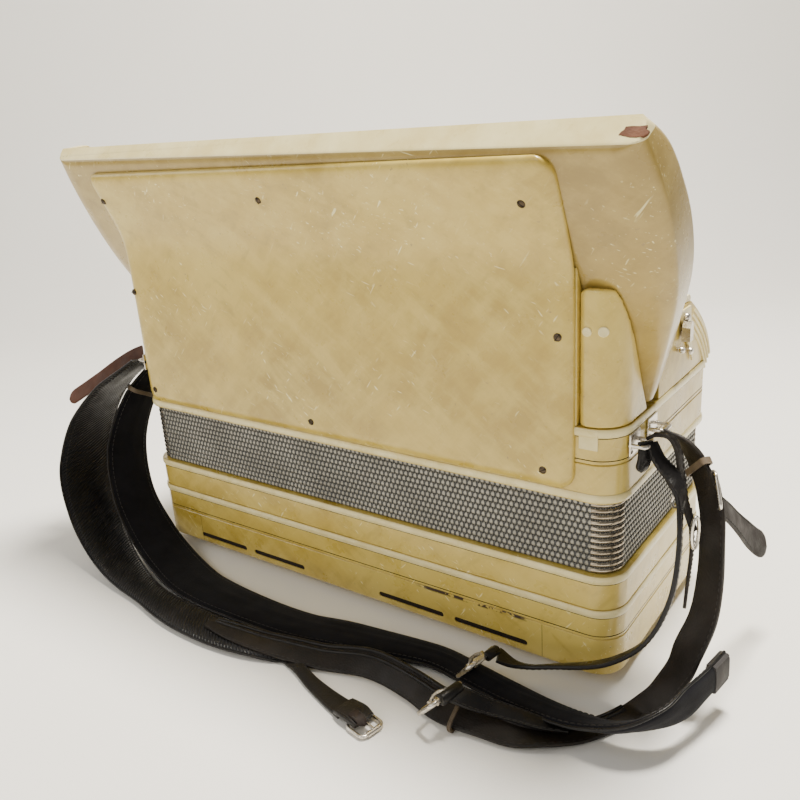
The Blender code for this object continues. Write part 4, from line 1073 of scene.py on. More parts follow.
def black_keys(group, left, whites, blacks):
    shapes = Shapes()
    for i in blacks:
        x = left + (i + 1) * WHITE_PITCH
        rings = []
        for t, top, wide in (
            (-0.0120, 0.0078, 0.88), (0.004, 0.0080, 0.88), (BLACK_LONG - 0.014, 0.0080, 0.86),
            (BLACK_LONG - 0.009, 0.0076, 0.84), (BLACK_LONG - 0.005, 0.0058, 0.86),
            (BLACK_LONG - 0.0025, 0.0020, 0.92), (BLACK_LONG, -0.0075, 1.0),
        ):
            half, crown = BLACK_WIDE / 2, BLACK_WIDE / 2 * wide
            ring = [(x - half, -0.0080), (x - half, min(0.0, top - 0.004))]
            ring += [
                (x - crown, top - 0.0022), (x - crown + 0.0005, top - 0.0009),
                (x - crown + 0.0016, top - 0.0001)
            ]
            ring += [(2 * x - a, h) for a, h in reversed(ring)]
            rings.append([(a, *key_point(t, max(h, -0.0080))) for a, h in ring])
        count = len(rings[0])
        points = [point for ring in rings for point in ring]
        faces = []
        for k in range(len(rings) - 1):
            for j in range(count):
                n = (j + 1) % count
                faces.append((k * count + j, k * count + n, (k + 1) * count + n, (k + 1) * count + j))
        faces += [tuple(range(count)), tuple(range((len(rings) - 1) * count, len(rings) * count))]
        shapes.add(points, faces)
    node = f"black_keys_{group}"
    x_low, x_high = max(left, -KEY_INNER_X) + 0.0003, min(left + whites * WHITE_PITCH, KEY_INNER_X) - 0.0003
    bar = ((x_low, -0.0140), (x_high, -0.0140), (x_high, -0.0030), (x_low, -0.0030))
    shapes.add(
        *rounded_prism(bar, 0.0015, BLACK_TALL + 0.0010, lambda a, b, c: (a, *key_point(b, c)), 0.0006), 1
    )
    key_works(shapes, node, key_point(-0.0130, 0.0052), (0.0670, 0.2000), 0.0026, (0.0640, 0.0765), 1)
    shapes.make(
        f"black_keys_group_{group}", (BLACK_KEY, WOOD), f"black_group_{group}", (node,), "black_key_top",
        sharp=50.0
    )


def keyboard():
    left = -WHITE_PITCH * 12
    for group, (whites, blacks) in enumerate(OCTAVE_PARTS, start=1):
        white_keys(group, left, whites, blacks)
        black_keys(group, left, whites, blacks)
        left += whites * WHITE_PITCH


def bezier(points, steps):
    made = []
    for k in range(steps + 1):
        s = k / steps
        weights = ((1 - s) ** 3, 3 * s * (1 - s) ** 2, 3 * s * s * (1 - s), s**3)
        made.append(tuple(sum(w * p[axis] for w, p in zip(weights, points)) for axis in (0, 1)))
    return made


def grille():
    """The domed cover over the pads, with rows of louvres backed by cloth."""
    low, top = TREBLE_BOX_TOP + 0.0004, 0.2425
    dome = bezier(((0.0925, low), (0.0880, 0.2085), (0.0620, 0.2285), (0.0365, top)), 30)
    outer = dome + [
        (0.0300, top), (-0.0148, 0.2420), (-0.0200, 0.2400), (-0.0245, 0.2350), (-0.0255, 0.2300),
        (-0.0255, low)
    ]
    inner = bezier(((0.0900, low), (0.0858, 0.2068), (0.0610, 0.2262), (0.0360, 0.2399)), 30)
    roof = inner + [(0.0300, 0.2399), (0.0300, top)] + dome[::-1]

    def place(a, b, c):
        return c, a, b

    shell = Shapes().add(*rounded_prism(roof, -0.2330, 0.2330, place))
    shell = shell.make("grille_dome", (PEARL,), TREBLE, ("grille",), "pearl_celluloid")
    slots = []
    for y, z, tilt in (
        (0.0470, 0.2380, 22.0), (0.0555, 0.2330, 30.0), (0.0630, 0.2275, 38.0), (0.0700, 0.2215, 45.0),
        (0.0765, 0.2145, 52.0), (0.0820, 0.2065, 60.0)
    ):
        for column in range(4):
            x = -0.165 + 0.110 * column
            half = 0.046 - 0.0035 * abs(tilt - 40.0) / 10
            outline = arc((half - 0.0016, 0.0), 0.0016, -90, 90, 6)
            outline += arc((-half + 0.0016, 0.0), 0.0016, 90, 270, 6)
            turn = Euler((-math.radians(tilt), 0.0, 0.0)).to_matrix()
            at = Vector((x, y, z))
            slots.append(
                rounded_prism(
                    outline, -0.008, 0.008, lambda a, b, c, at=at, turn=turn: at + turn @ Vector((a, b, c))
                )
            )
    cut(shell, slots)
    ends = Shapes()
    for side in (-1, 1):
        inside, face = sorted((side * 0.2330, side * CASE_X))
        ends.add(*rounded_prism(outer, inside, face, place, 0.0006))
        for grow in (0.0030, 0.0070, 0.0110, 0.0150):
            path = [(side * (CASE_X - 0.0001), y - grow * 0.9, z - grow * 0.75) for y, z in dome[2:27]]
            ends.add(*tube(path, 0.0011, 10), 1)
    ends.make("grille_ends", (PEARL, BEADS), TREBLE, slot="pearl_celluloid")
    rear = Shapes()
    wall = [(-0.0255, low), (-0.0245, low), (-0.0245, 0.2350)]
    wall += [(-0.0140, 0.2410), (-0.0148, 0.2420), (-0.0255, 0.2350)]
    rear.add(*rounded_prism(wall, -0.2330, 0.2330, place))
    rear.make("grille_rear_wall", (PEARL,), TREBLE, slot="pearl_celluloid")
    lining = [(y - 0.0012, z - 0.0010) for y, z in inner[3:28]]
    cloth = lining + [(y - 0.0006, z - 0.0005) for y, z in reversed(lining)]
    knobs = Shapes()
    for y, z, radius in (
        (0.0179, 0.2350, 0.0030), (0.0177, 0.2233, 0.0034), (0.0285, 0.2075, 0.0026),
        (0.0090, 0.2134, 0.0024)
    ):
        dome = [
            (radius * 0.7, -0.0012), (radius * 0.7, 0.0012), (radius, 0.0020), (radius, 0.0034),
            (radius * 0.7, 0.0046), (0.0002, 0.0050)
        ]
        knobs.add(*lathe(dome, (CASE_X + 0.0008, y, z), (1.0, 0.0, 0.0), 20))
    knobs.make("lever_knobs", (DULL_METAL,), TREBLE, slot="chrome")
    backing = Shapes().add(*rounded_prism(cloth, -0.2250, 0.2250, place))
    backing.make("grille_backing", (GRILLE_CLOTH,), TREBLE, slot="bellows_cloth")


def ends_trim():
    """The trim pieces whose CAD shape stays: they only get a look and softer edges."""
    for node, look in (
        ("grille_end_plate_left", BEADS), ("grille_end_plate_right", BEADS), ("register_panel", BEADS),
        ("treble_shift_lever", DULL_METAL), ("bass_button_board", IVORY),
    ):
        obj = frame["nodes"][node]
        dress(node, look)
        bevel = obj.modifiers.new("soft_edges", "BEVEL")
        bevel.width, bevel.segments, bevel.limit_method, bevel.angle_limit = 0.0004, 2, "ANGLE", 0.6


def dress(node, look):
    """Gives a CAD node that stays its material."""
    obj = frame["nodes"][node]
    if obj.material_slots:
        for place in obj.material_slots:
            place.material = look
    else:
        obj.data.materials.append(look)


def hidden_works():
    for node, look in (
        ("bass_foundation_plate", WOOD), ("bass_reed_block_rear", WOOD), ("bass_reed_block_front", WOOD),
        ("treble_foundation_plate", WOOD), ("treble_reed_block_rear", WOOD),
        ("treble_reed_block_front", WOOD),
        ("white_key_axle", STEEL), ("black_key_axle", STEEL), ("air_button", CHROME),
    ):
        dress(node, look)


# ----------------------------------------------------------------- the straps


def stations_to_frames(stations, spacing):
    """Evenly spaced (centre, width direction, face normal, width, distance) along a strap."""
    centres = [Vector(centre) for centre, _, _ in stations]
    knots = [0.0]
    for a, b in zip(centres, centres[1:]):
        knots.append(knots[-1] + (b - a).length)
    rows = [(*centre, *Vector(wide).normalized(), width) for centre, wide, width in stations]
    steps = max(int(knots[-1] / spacing), 4)
    line = [smooth_through(knots, rows, knots[-1] * k / steps) for k in range(steps + 1)]
    frames = []
    for k, row in enumerate(line):
        ahead, behind = line[min(k + 1, steps)], line[max(k - 1, 0)]
        along = Vector(ahead[:3] - behind[:3]).normalized()
        wide = Vector(row[3:6])
        wide = (wide - along * wide.dot(along)).normalized()
        frames.append((Vector(row[:3]), wide, along.cross(wide), row[6], knots[-1] * k / steps))
    return frames


def sweep(shapes, frames, section, which):
    """section(distance, total) gives ring points (across from -1 to 1, height in metres, look)."""
    total = frames[-1][4]
    points, faces, looks, uvs = [], [], [], []
    rings = [section(frame[4], total) for frame in frames]
    count = len(rings[0])
    for (centre, wide, face, width, _), ring in zip(frames, rings):
        points += [centre + wide * (across * width / 2) + face * high for across, high, _ in ring]
    for k in range(len(frames) - 1):
        for i in range(count):
            j = (i + 1) % count
            faces.append((k * count + i, k * count + j, (k + 1) * count + j, (k + 1) * count + i))
            looks.append(which + rings[k][i][2])
            pair = []
            for row, col in ((k, i), (k, j), (k + 1, j), (k + 1, i)):
                pair.append((frames[row][4], rings[row][col][0] * frames[row][3] / 2))
            uvs.append(pair)
    for row in (0, len(frames) - 1):
        faces.append(tuple(range(row * count, row * count + count)))
        looks.append(which)
        uvs.append([(0.0, 0.0)] * count)
    shapes.add(points, faces, looks, uvs)


def pad_section(thick, top_look, low_look, seed, ridge):
    """A stuffed strap: crowned on both sides, a little lumpy, with an optional welt along it."""

    def section(distance, total):
        end = min(distance, total - distance)
        swell = min(1.0, 0.35 + 0.65 * math.sqrt(max(end, 0.0) / 0.015)) if end < 0.015 else 1.0
        ring = []
        steps = 14
        for side in (1, -1):
            for k in range(steps):
                across = side * (1 - 2 * k / steps)
                crown = (1 - abs(across) ** 2.6) ** 0.55
                lump = noise.noise(Vector((distance * 38, across * 2.2 + seed, side * 3.0)))
                high = thick / 2 * crown * (0.93 + 0.16 * lump) * swell
                if side > 0:
                    high += ridge * math.exp(-(((across - 0.12) / 0.07) ** 2))
                ring.append((across, side * high, top_look if side > 0 else low_look))
        return ring

    return section


def strap_section(thick, look=0):
    """Flat leather with softened edges and a slight groove along each row of stitches."""

    def section(distance, total):
        high = thick / 2
        ring = []
        for side in (1, -1):
            for across, share in (
                (0.97, 0.55), (0.90, 0.92), (0.80, 0.86), (0.70, 1.0), (0.0, 1.04), (-0.70, 1.0),
                (-0.80, 0.86), (-0.90, 0.92), (-0.97, 0.55)
            ):
                ring.append((side * across, side * share * high, look))
        return ring

    return section


def stitches(shapes, frames, across, high, which, long=0.0030, spacing=0.0044, radius=0.00035):
    """A row of raised stitches along a strap."""
    total = frames[-1][4]
    count = int((total - 0.006) / spacing)
    for k in range(count):
        middle = 0.003 + spacing * (k + 0.5)
        ends = []
        for at in (middle - long / 2, middle - long / 4, middle + long / 4, middle + long / 2):
            i = min(int(at / total * (len(frames) - 1)), len(frames) - 2)
            share = at / total * (len(frames) - 1) - i
            lift = high + (0.00022 if abs(at - middle) < long * 0.3 else -0.0001)
            pair = [f[0] + f[1] * (across * f[3] / 2) + f[2] * lift for f in frames[i : i + 2]]
            ends.append(pair[0].lerp(pair[1], share))
        shapes.add(*tube(ends, radius, 5), which)


def edge_cord(shapes, frames, across, radius, which):
    """Piping along one edge of a pad."""
    shapes.add(*tube([f[0] + f[1] * (across * f[3] / 2) for f in frames], radius, 8), which)


Y_WIDE = (0.0, 1.0, 0.0)
INNER_PAD = (
    ((-0.2545, -0.0430, 0.1680), Y_WIDE, 0.026),
    ((-0.2700, -0.0740, 0.1300), Y_WIDE, 0.040),
    ((-0.2740, -0.0960, 0.0850), Y_WIDE, 0.044),
    ((-0.2560, -0.1110, 0.0460), Y_WIDE, 0.044),
    ((-0.2200, -0.1230, 0.0160), Y_WIDE, 0.046),
    ((-0.1750, -0.1350, -0.0010), Y_WIDE, 0.046),
    ((-0.1280, -0.1475, -0.0036), Y_WIDE, 0.043),
    ((-0.0990, -0.1507, -0.0036), Y_WIDE, 0.041),
    ((-0.0650, -0.1517, -0.0036), Y_WIDE, 0.038),
    ((-0.0340, -0.1513, -0.0036), Y_WIDE, 0.036),
    ((-0.0030, -0.1487, -0.0036), Y_WIDE, 0.035),
    ((0.0260, -0.1419, -0.0036), Y_WIDE, 0.035),
    ((0.0580, -0.1360, -0.0036), Y_WIDE, 0.032),
    ((0.0855, -0.1301, -0.0036), Y_WIDE, 0.027),
    ((0.1100, -0.1273, -0.0036), Y_WIDE, 0.025),
    ((0.1393, -0.1309, -0.0036), Y_WIDE, 0.024),
    ((0.1701, -0.1361, -0.0030), Y_WIDE, 0.023),
    ((0.2033, -0.1444, 0.0020), (0.0, 1.0, -0.1), 0.022),
    ((0.2352, -0.1496, 0.0080), (-0.2, 1.0, -0.3), 0.022),
    ((0.2631, -0.1465, 0.0140), (-0.4, 0.7, -0.7), 0.023),
    ((0.2807, -0.1341, 0.0190), (-0.3, 0.3, -1.0), 0.024),
    ((0.2900, -0.1150, 0.0215), (0.0, 0.0, -1.0), 0.024),
    ((0.2960, -0.0930, 0.0235), (0.0, 0.0, -1.0), 0.023),
    ((0.3005, -0.0700, 0.0250), (0.0, 0.0, -1.0), 0.022),
)
INNER_LEATHER = (
    ((0.2470, -0.0720, 0.1750), (0.3, 0.9, 0.3), 0.009),
    ((0.2540, -0.0750, 0.1650), (0.3, 0.9, 0.3), 0.010),
    ((0.2640, -0.0770, 0.1560), (0.3, 0.9, 0.3), 0.012),
    ((0.2700, -0.0830, 0.1480), Y_WIDE, 0.013),
    ((0.2720, -0.0870, 0.1350), (-0.2, 0.95, 0.0), 0.014),
    ((0.2735, -0.0910, 0.1120), (-0.2, 0.95, 0.0), 0.015),
    ((0.2710, -0.0960, 0.0800), (-0.1, 0.95, 0.0), 0.015),
    ((0.2600, -0.1020, 0.0500), (0.0, 1.0, -0.1), 0.014),
    ((0.2360, -0.1050, 0.0260), (0.0, 1.0, -0.2), 0.014),
    ((0.2010, -0.1100, 0.0120), (0.0, 0.9, -0.4), 0.014),
    ((0.1700, -0.1200, 0.0090), (0.0, 0.90, -0.4), 0.013),
    ((0.1600, -0.1240, 0.0150), (0.1, 0.98, -0.1), 0.014),
)
OUTER_PAD = (
    ((-0.2500, -0.0780, 0.1720), Y_WIDE, 0.036),
    ((-0.2800, -0.0950, 0.1470), Y_WIDE, 0.046),
    ((-0.3020, -0.1100, 0.1120), Y_WIDE, 0.054),
    ((-0.3050, -0.1250, 0.0700), Y_WIDE, 0.056),
    ((-0.2790, -0.1420, 0.0330), Y_WIDE, 0.052),
    ((-0.2430, -0.1570, 0.0090), Y_WIDE, 0.043),
    ((-0.2050, -0.1690, -0.0010), Y_WIDE, 0.035),
    ((-0.1540, -0.1812, -0.0036), Y_WIDE, 0.026),
    ((-0.1200, -0.1868, -0.0036), Y_WIDE, 0.030),
    ((-0.0870, -0.1892, -0.0036), Y_WIDE, 0.032),
    ((-0.0520, -0.1895, -0.0036), Y_WIDE, 0.030),
    ((-0.0160, -0.1860, -0.0038), Y_WIDE, 0.024),
    ((0.0040, -0.1815, -0.0044), (0.0, 0.97, 0.2), 0.017),
    ((0.0160, -0.1785, -0.0050), (0.0, 0.95, 0.3), 0.008),
)
OUTER_LEATHER = (
    ((-0.0720, -0.1880, 0.0010), (0.0, 1.0, 0.05), 0.012),
    ((-0.0450, -0.1880, 0.0016), (0.0, 1.0, 0.1), 0.018),
    ((-0.0125, -0.1850, 0.0012), (0.0, 0.98, 0.2), 0.020),
    ((0.0080, -0.1800, -0.0002), (0.0, 0.95, 0.3), 0.021),
    ((0.0350, -0.1740, -0.0010), (0.0, 0.9, 0.4), 0.021),
    ((0.0750, -0.1640, 0.0010), (0.0, 0.8, 0.6), 0.022),
    ((0.1150, -0.1680, 0.0010), (0.1, 0.8, 0.6), 0.022),
    ((0.1450, -0.1745, 0.0005), (0.1, 0.85, 0.5), 0.024),
    ((0.1750, -0.1720, 0.0000), (0.0, 0.9, 0.4), 0.025),
    ((0.1960, -0.1700, -0.0015), (-0.2, 0.95, 0.3), 0.023),
    ((0.2140, -0.1623, -0.0035), (-0.5, 0.8, -0.1), 0.021),
    ((0.2307, -0.1472, -0.0050), (-0.8, 0.5, 0.0), 0.018),
    ((0.2411, -0.1329, -0.0055), (-0.87, 0.47, 0.0), 0.016),
    ((0.2495, -0.1181, -0.0050), (-0.9, 0.42, 0.0), 0.015),
    ((0.2578, -0.1049, -0.0020), (-0.9, 0.42, 0.1), 0.016),
    ((0.2672, -0.0971, 0.0060), (-0.9, 0.35, 0.2), 0.018),
    ((0.2720, -0.0912, 0.0140), (-0.8, 0.5, 0.2), 0.020),
    ((0.2770, -0.0873, 0.0240), (-0.85, 0.5, 0.1), 0.022),
    ((0.2800, -0.0840, 0.0360), (-0.9, 0.42, 0.0), 0.023),
    ((0.2860, -0.0740, 0.0580), (-0.9, 0.42, 0.0), 0.022),
    ((0.2870, -0.0660, 0.0840), (-0.90, 0.42, 0.0), 0.021),
    ((0.2859, -0.0630, 0.1096), (-0.90, 0.42, 0.0), 0.020),
    ((0.2834, -0.0580, 0.1283), (-0.88, 0.44, -0.1), 0.020),
    ((0.2784, -0.0520, 0.1403), (-0.85, 0.45, -0.2), 0.020),
    ((0.2720, -0.0470, 0.1497), (-0.75, 0.50, -0.4), 0.019),
    ((0.2658, -0.0430, 0.1583), (-0.60, 0.55, -0.5), 0.019),
    ((0.2583, -0.0410, 0.1647), (-0.40, 0.65, -0.6), 0.018),
    ((0.2498, -0.0400, 0.1690), (-0.20, 0.80, -0.5), 0.017),
    ((0.2443, -0.0400, 0.1725), (-0.10, 0.95, -0.3), 0.015),
)
BACK_STRAP = (
    ((0.0036, -0.1829, -0.0062), (0.3, 0.9, 0.1), 0.010),
    ((0.0250, -0.1890, -0.0050), (0.4, 0.85, 0.2), 0.010),
    ((0.0450, -0.1970, -0.0050), (0.4, 0.85, 0.2), 0.011),
    ((0.0660, -0.2030, -0.0055), (0.4, 0.9, 0.1), 0.014),
    ((0.0870, -0.2078, -0.0055), (0.35, 0.93, 0.0), 0.018),
)
HAND_STRAP = (
    ((-0.1800, -0.0450, -0.0022), Y_WIDE, 0.030),
    ((-0.1500, -0.0450, -0.0048), Y_WIDE, 0.050),
    ((0.0, -0.0450, -0.0055), Y_WIDE, 0.060),
    ((0.1500, -0.0450, -0.0048), Y_WIDE, 0.050),
    ((0.1800, -0.0450, -0.0022), Y_WIDE, 0.030),
)


def shoulder_pads():
    """Two stuffed straps: velvet on the inner one, ribbed leather on the outer one's upper side."""
    for name, node, stations, looks, seed, ridge in (
        (
            "inner_pad", "shoulder_strap_inner_pad", INNER_PAD, (VELVET, VELVET, LEATHER, THREAD, BINDING),
            0.0, 0.0006
        ),
        (
            "outer_pad", "shoulder_strap_outer_pad", OUTER_PAD, (RIBBED, VELVET, LEATHER, THREAD, BINDING),
            5.0, 0.0
        ),
    ):
        frames = stations_to_frames(stations, 0.0030)
        shapes = Shapes()
        sweep(shapes, frames, pad_section(0.0072, 0, 1, seed, ridge), 0)
        for across in (-0.97, 0.97):
            edge_cord(shapes, frames, across, 0.0011, 2)
        for across in (-0.80, 0.80):
            stitches(shapes, frames, across, 0.0021, 3)
        if name == "inner_pad":
            tip = [(c, w, f, width * 0.98, d - frames[-7][4]) for c, w, f, width, d in frames[-7:]]
            sweep(shapes, tip, strap_section(0.0076), 4)
        pad = shapes.make(name, looks, TREBLE, (node,), "velvet", sharp=60.0)


def leather_straps():
    for name, node, stations, thick, rows in (
        ("inner_leather", "shoulder_strap_inner_leather", INNER_LEATHER, 0.0030, (-0.80, 0.80)),
        ("outer_leather", "shoulder_strap_outer_leather", OUTER_LEATHER, 0.0032, (-0.80, 0.80)),
        ("back_strap_leather", "back_strap", BACK_STRAP, 0.0026, (-0.76, 0.76)),
        ("bass_strap_leather", "bass_hand_strap", HAND_STRAP, 0.0022, (-0.88, 0.88)),
    ):
        frames = stations_to_frames(stations, 0.0028)
        shapes = Shapes()
        sweep(shapes, frames, strap_section(thick), 0)
        for across in rows:
            for side in (1, -1):
                stitches(shapes, frames, across, side * thick * 0.36, 1)
        if name == "outer_leather":
            for across in (0.86, 0.46):
                cord = [
                    f[0] + f[1] * (across * f[3] / 2) + f[2] * 0.0010
                    for f in frames[2 : int(len(frames) * 0.62)]
                ]
                shapes.add(*tube(cord, 0.0017, 10), 2)
        body = BASS if node == "bass_hand_strap" else TREBLE
        face = WORN_LEATHER if name == "outer_leather" else LEATHER
        shapes.make(name, (face, THREAD, LEATHER), body, (node,), "leather", sharp=50.0)


def tab(name, stations, thick, look, spacing=0.0015):
    """A loose strap end with a round tip: its width falls to nothing over the last stretch."""
    frames = []
    raw = stations_to_frames(stations, spacing)
    total = raw[-1][4]
    for centre, wide, face, width, distance in raw:
        left = total - distance
        share = math.sqrt(max(1 - (1 - min(left / (width / 2), 1.0)) ** 2, 0.0025))
        frames.append((centre, wide, face, width * share, distance))
    shapes = Shapes()
    sweep(shapes, frames, strap_section(thick), 0)
    for across in (-0.78, 0.78):
        stitches(shapes, frames[: int(len(frames) * 0.8)], across, thick * 0.45, 1)
    shapes.make(name, (look, THREAD), TREBLE, slot="leather", sharp=50.0)


def strap_ends():
    """The tabs, loops and keepers at the ends of the straps."""
    tab("brown_end_tab", (
        ((-0.2560, -0.0720, 0.1775), (0.1, 0.6, 0.8), 0.015),
        ((-0.2640, -0.0760, 0.1740), (0.1, 0.6, 0.8), 0.016),
        ((-0.2800, -0.0850, 0.1645), (0.1, 0.6, 0.8), 0.017),
        ((-0.3050, -0.0975, 0.1475), (0.1, 0.6, 0.8), 0.017),
        ((-0.3340, -0.1105, 0.1290), (0.1, 0.6, 0.8), 0.017)), 0.0024, BROWN)
    tab("dark_end_tab", (
        ((0.2780, -0.0520, 0.1350), (-0.3, 0.5, 0.8), 0.015),
        ((0.2845, -0.0220, 0.1120), (-0.3, 0.5, 0.8), 0.016),
        ((0.2880, -0.0050, 0.0960), (-0.3, 0.5, 0.8), 0.018),
        ((0.2910, 0.0100, 0.0820), (-0.2, 0.5, 0.8), 0.020),
        ((0.2950, 0.0260, 0.0680), (-0.2, 0.5, 0.8), 0.021),
        ((0.2985, 0.0370, 0.0600), (-0.2, 0.5, 0.8), 0.021)), 0.0026, DARK_BROWN)
    tab("narrow_tab", (
        ((0.2690, -0.0560, 0.1250), (-0.2, 0.9, 0.0), 0.008),
        ((0.2705, -0.0534, 0.0984), (-0.2, 0.9, 0.0), 0.012),
        ((0.2670, -0.0450, 0.0700), (-0.2, 0.9, 0.0), 0.010),
        ((0.2630, -0.0360, 0.0380), (-0.2, 0.9, 0.0), 0.008)), 0.0024, DARK_BROWN)
    tab("ring_tab", (
        ((0.2440, -0.0745, 0.1765), (0.5, 0.8, 0.0), 0.011),
        ((0.2450, -0.0760, 0.1690), (0.5, 0.8, 0.0), 0.011),
        ((0.2435, -0.0770, 0.1600), (0.5, 0.8, 0.0), 0.010),
        ((0.2420, -0.0770, 0.1560), (0.5, 0.8, 0.0), 0.010)), 0.0030, LEATHER)
    ribbon("thin_strap", (
        ((0.2440, -0.0700, 0.1770), (0.2, 0.9, 0.0), 0.0055),
        ((0.2500, -0.0700, 0.1805), (0.2, 0.9, 0.0), 0.0055),
        ((0.2581, -0.0700, 0.1804), (0.2, 0.9, 0.0), 0.0055),
        ((0.2635, -0.0700, 0.1720), (0.2, 0.9, 0.0), 0.0055),
        ((0.2658, -0.0700, 0.1590), (0.3, 0.9, 0.0), 0.0055),
        ((0.2710, -0.0700, 0.1322), (0.4, 0.9, 0.0), 0.0055),
        ((0.2761, -0.0700, 0.1184), (0.4, 0.9, 0.0), 0.0055)), 0.0022, WORN_LEATHER)
    ribbon("outer_tongue", (
        ((0.1560, -0.1795, 0.0195), (0.1, 0.95, 0.1), 0.015),
        ((0.1640, -0.1765, 0.0165), (0.1, 0.92, 0.2), 0.014),
        ((0.1760, -0.1700, 0.0105), (0.0, 0.90, 0.4), 0.012),
        ((0.1930, -0.1640, 0.0066), (-0.1, 0.90, 0.4), 0.011),
        ((0.2120, -0.1590, 0.0035), (-0.3, 0.90, 0.2), 0.010),
        ((0.2250, -0.1500, -0.0015), (-0.6, 0.75, 0.1), 0.008)), 0.0030, LEATHER)
    roll("inner_buckle_loop", (0.1575, -0.1285, 0.0185), (0.2, 1.0, 0.0), 0.0120, 0.0036, LEATHER)
    roll("outer_buckle_loop", (0.1560, -0.1815, 0.0200), (0.2, 1.0, 0.0), 0.0190, 0.0042, LEATHER)
    ribbon("back_strap_loop", (
        ((0.0830, -0.2068, -0.0030), (0.3, 0.95, 0.0), 0.0185),
        ((0.0900, -0.2085, -0.0018), (0.25, 0.96, 0.0), 0.0195),
        ((0.0980, -0.2100, -0.0012), (0.25, 0.96, 0.0), 0.0195),
        ((0.1050, -0.2115, -0.0025), (0.25, 0.96, 0.0), 0.0175)), 0.0042, LEATHER)
    tab("back_strap_tongue", (
        ((0.0960, -0.2125, 0.0012), (0.3, 0.95, 0.0), 0.008),
        ((0.1030, -0.2140, 0.0010), (0.3, 0.95, 0.0), 0.008),
        ((0.1090, -0.2155, -0.0020), (0.3, 0.95, 0.0), 0.007)), 0.0016, DARK_BROWN)
    buckle(
        "side_buckle", None, (0.2826, -0.0506, 0.1400), (0.30, -0.35, -0.88), (-0.45, 0.85, -0.2), 0.026,
        0.024, 0.0024
    )
    ring = Shapes()
    oval = []
    for k in range(28):
        angle = 2 * math.pi * k / 28
        across, upward = math.cos(angle), math.sin(angle)
        oval.append((0.2790 + 0.0012 * across, -0.0775 + 0.0036 * across, 0.1215 + 0.0110 * upward))
    ring.add(*tube(oval, 0.0012, 10, closed=True))
    ring.make("oval_ring", (DULL_METAL,), TREBLE, slot="chrome")
    hook = Shapes()
    curl = [
        (0.2500, -0.0330, 0.1205), (0.2490, -0.0330, 0.1165), (0.2515, -0.0340, 0.1135),
        (0.2560, -0.0360, 0.1150), (0.2580, -0.0370, 0.1190), (0.2560, -0.0360, 0.1215)
    ]
    hook.add(*tube(curl, 0.0011, 8))
    hook.make("small_hook", (DULL_METAL,), TREBLE, slot="chrome")
    keeper(
        "tan_keeper", (0.1575, -0.1745, 0.0018), (1.0, 0.05, 0.0), (0.0, 0.90, 0.44), 0.0290, 0.0085, TAN,
        0.0026
    )
    keeper(
        "side_keeper", (0.2700, -0.0460, 0.1525), (0.55, -0.45, -0.70), (-0.75, 0.50, -0.4), 0.0215, 0.0060,
        TAN, 0.0045
    )
    keeper(
        "left_keeper", (-0.2665, -0.0700, 0.1345), (-0.3, -0.5, -0.8), Y_WIDE, 0.0420, 0.0100, TAN, 0.0040
    )


def ribbon(name, stations, thick, look):
    """A plain leather band, with a row of stitches along each edge."""
    frames = stations_to_frames(stations, 0.0018)
    shapes = Shapes()
    sweep(shapes, frames, strap_section(thick), 0)
    for across in (-0.76, 0.76):
        stitches(shapes, frames, across, thick * 0.45, 1)
    return shapes.make(name, (look, THREAD), TREBLE, slot="leather", sharp=50.0)


def roll(name, centre, axis, wide, radius, look):
    """Leather rolled round a buckle's bar."""
    half = wide / 2
    profile = [
        (0.0016, -half), (radius * 0.85, -half), (radius, -half + 0.0008), (radius, half - 0.0008),
        (radius * 0.85, half), (0.0016, half)
    ]
    rolled = Shapes().add(*lathe(profile, centre, Vector(axis).normalized(), 20))
    rolled.make(name, (look,), TREBLE, slot="leather", sharp=50.0)


def keeper(name, centre, along, across, wide, high, look, long=0.0055, thick=0.0012):
    """A leather loop round a strap."""
    along, across = Vector(along).normalized(), Vector(across).normalized()
    across = (across - along * across.dot(along)).normalized()
    up = along.cross(across)
    shapes = Shapes()
    radius = high / 2
    outline = arc((wide / 2 - radius, 0.0), radius, -90, 90, 8)
    outline += arc((-wide / 2 + radius, 0.0), radius, 90, 270, 8)
    count = len(outline)
    rings = []
    for step, reach in ((-1, 0.0), (1, 0.0), (1, thick), (-1, thick)):
        ring = []
        for a, b in outline:
            scale_a, scale_b = (1 + 2 * reach / wide), (1 + 2 * reach / high)
            ring.append(Vector(centre) + along * step * long / 2 + across * a * scale_a + up * b * scale_b)
        rings.append(ring)
    points = [point for ring in rings for point in ring]
    faces = []
    for k in range(4):
        for i in range(count):
            j = (i + 1) % count
            a, b = k * count, (k + 1) % 4 * count
            faces.append((a + i, a + j, b + j, b + i))
    shapes.add(points, faces)
    shapes.make(name, (look,), TREBLE, slot="leather", sharp=50.0)


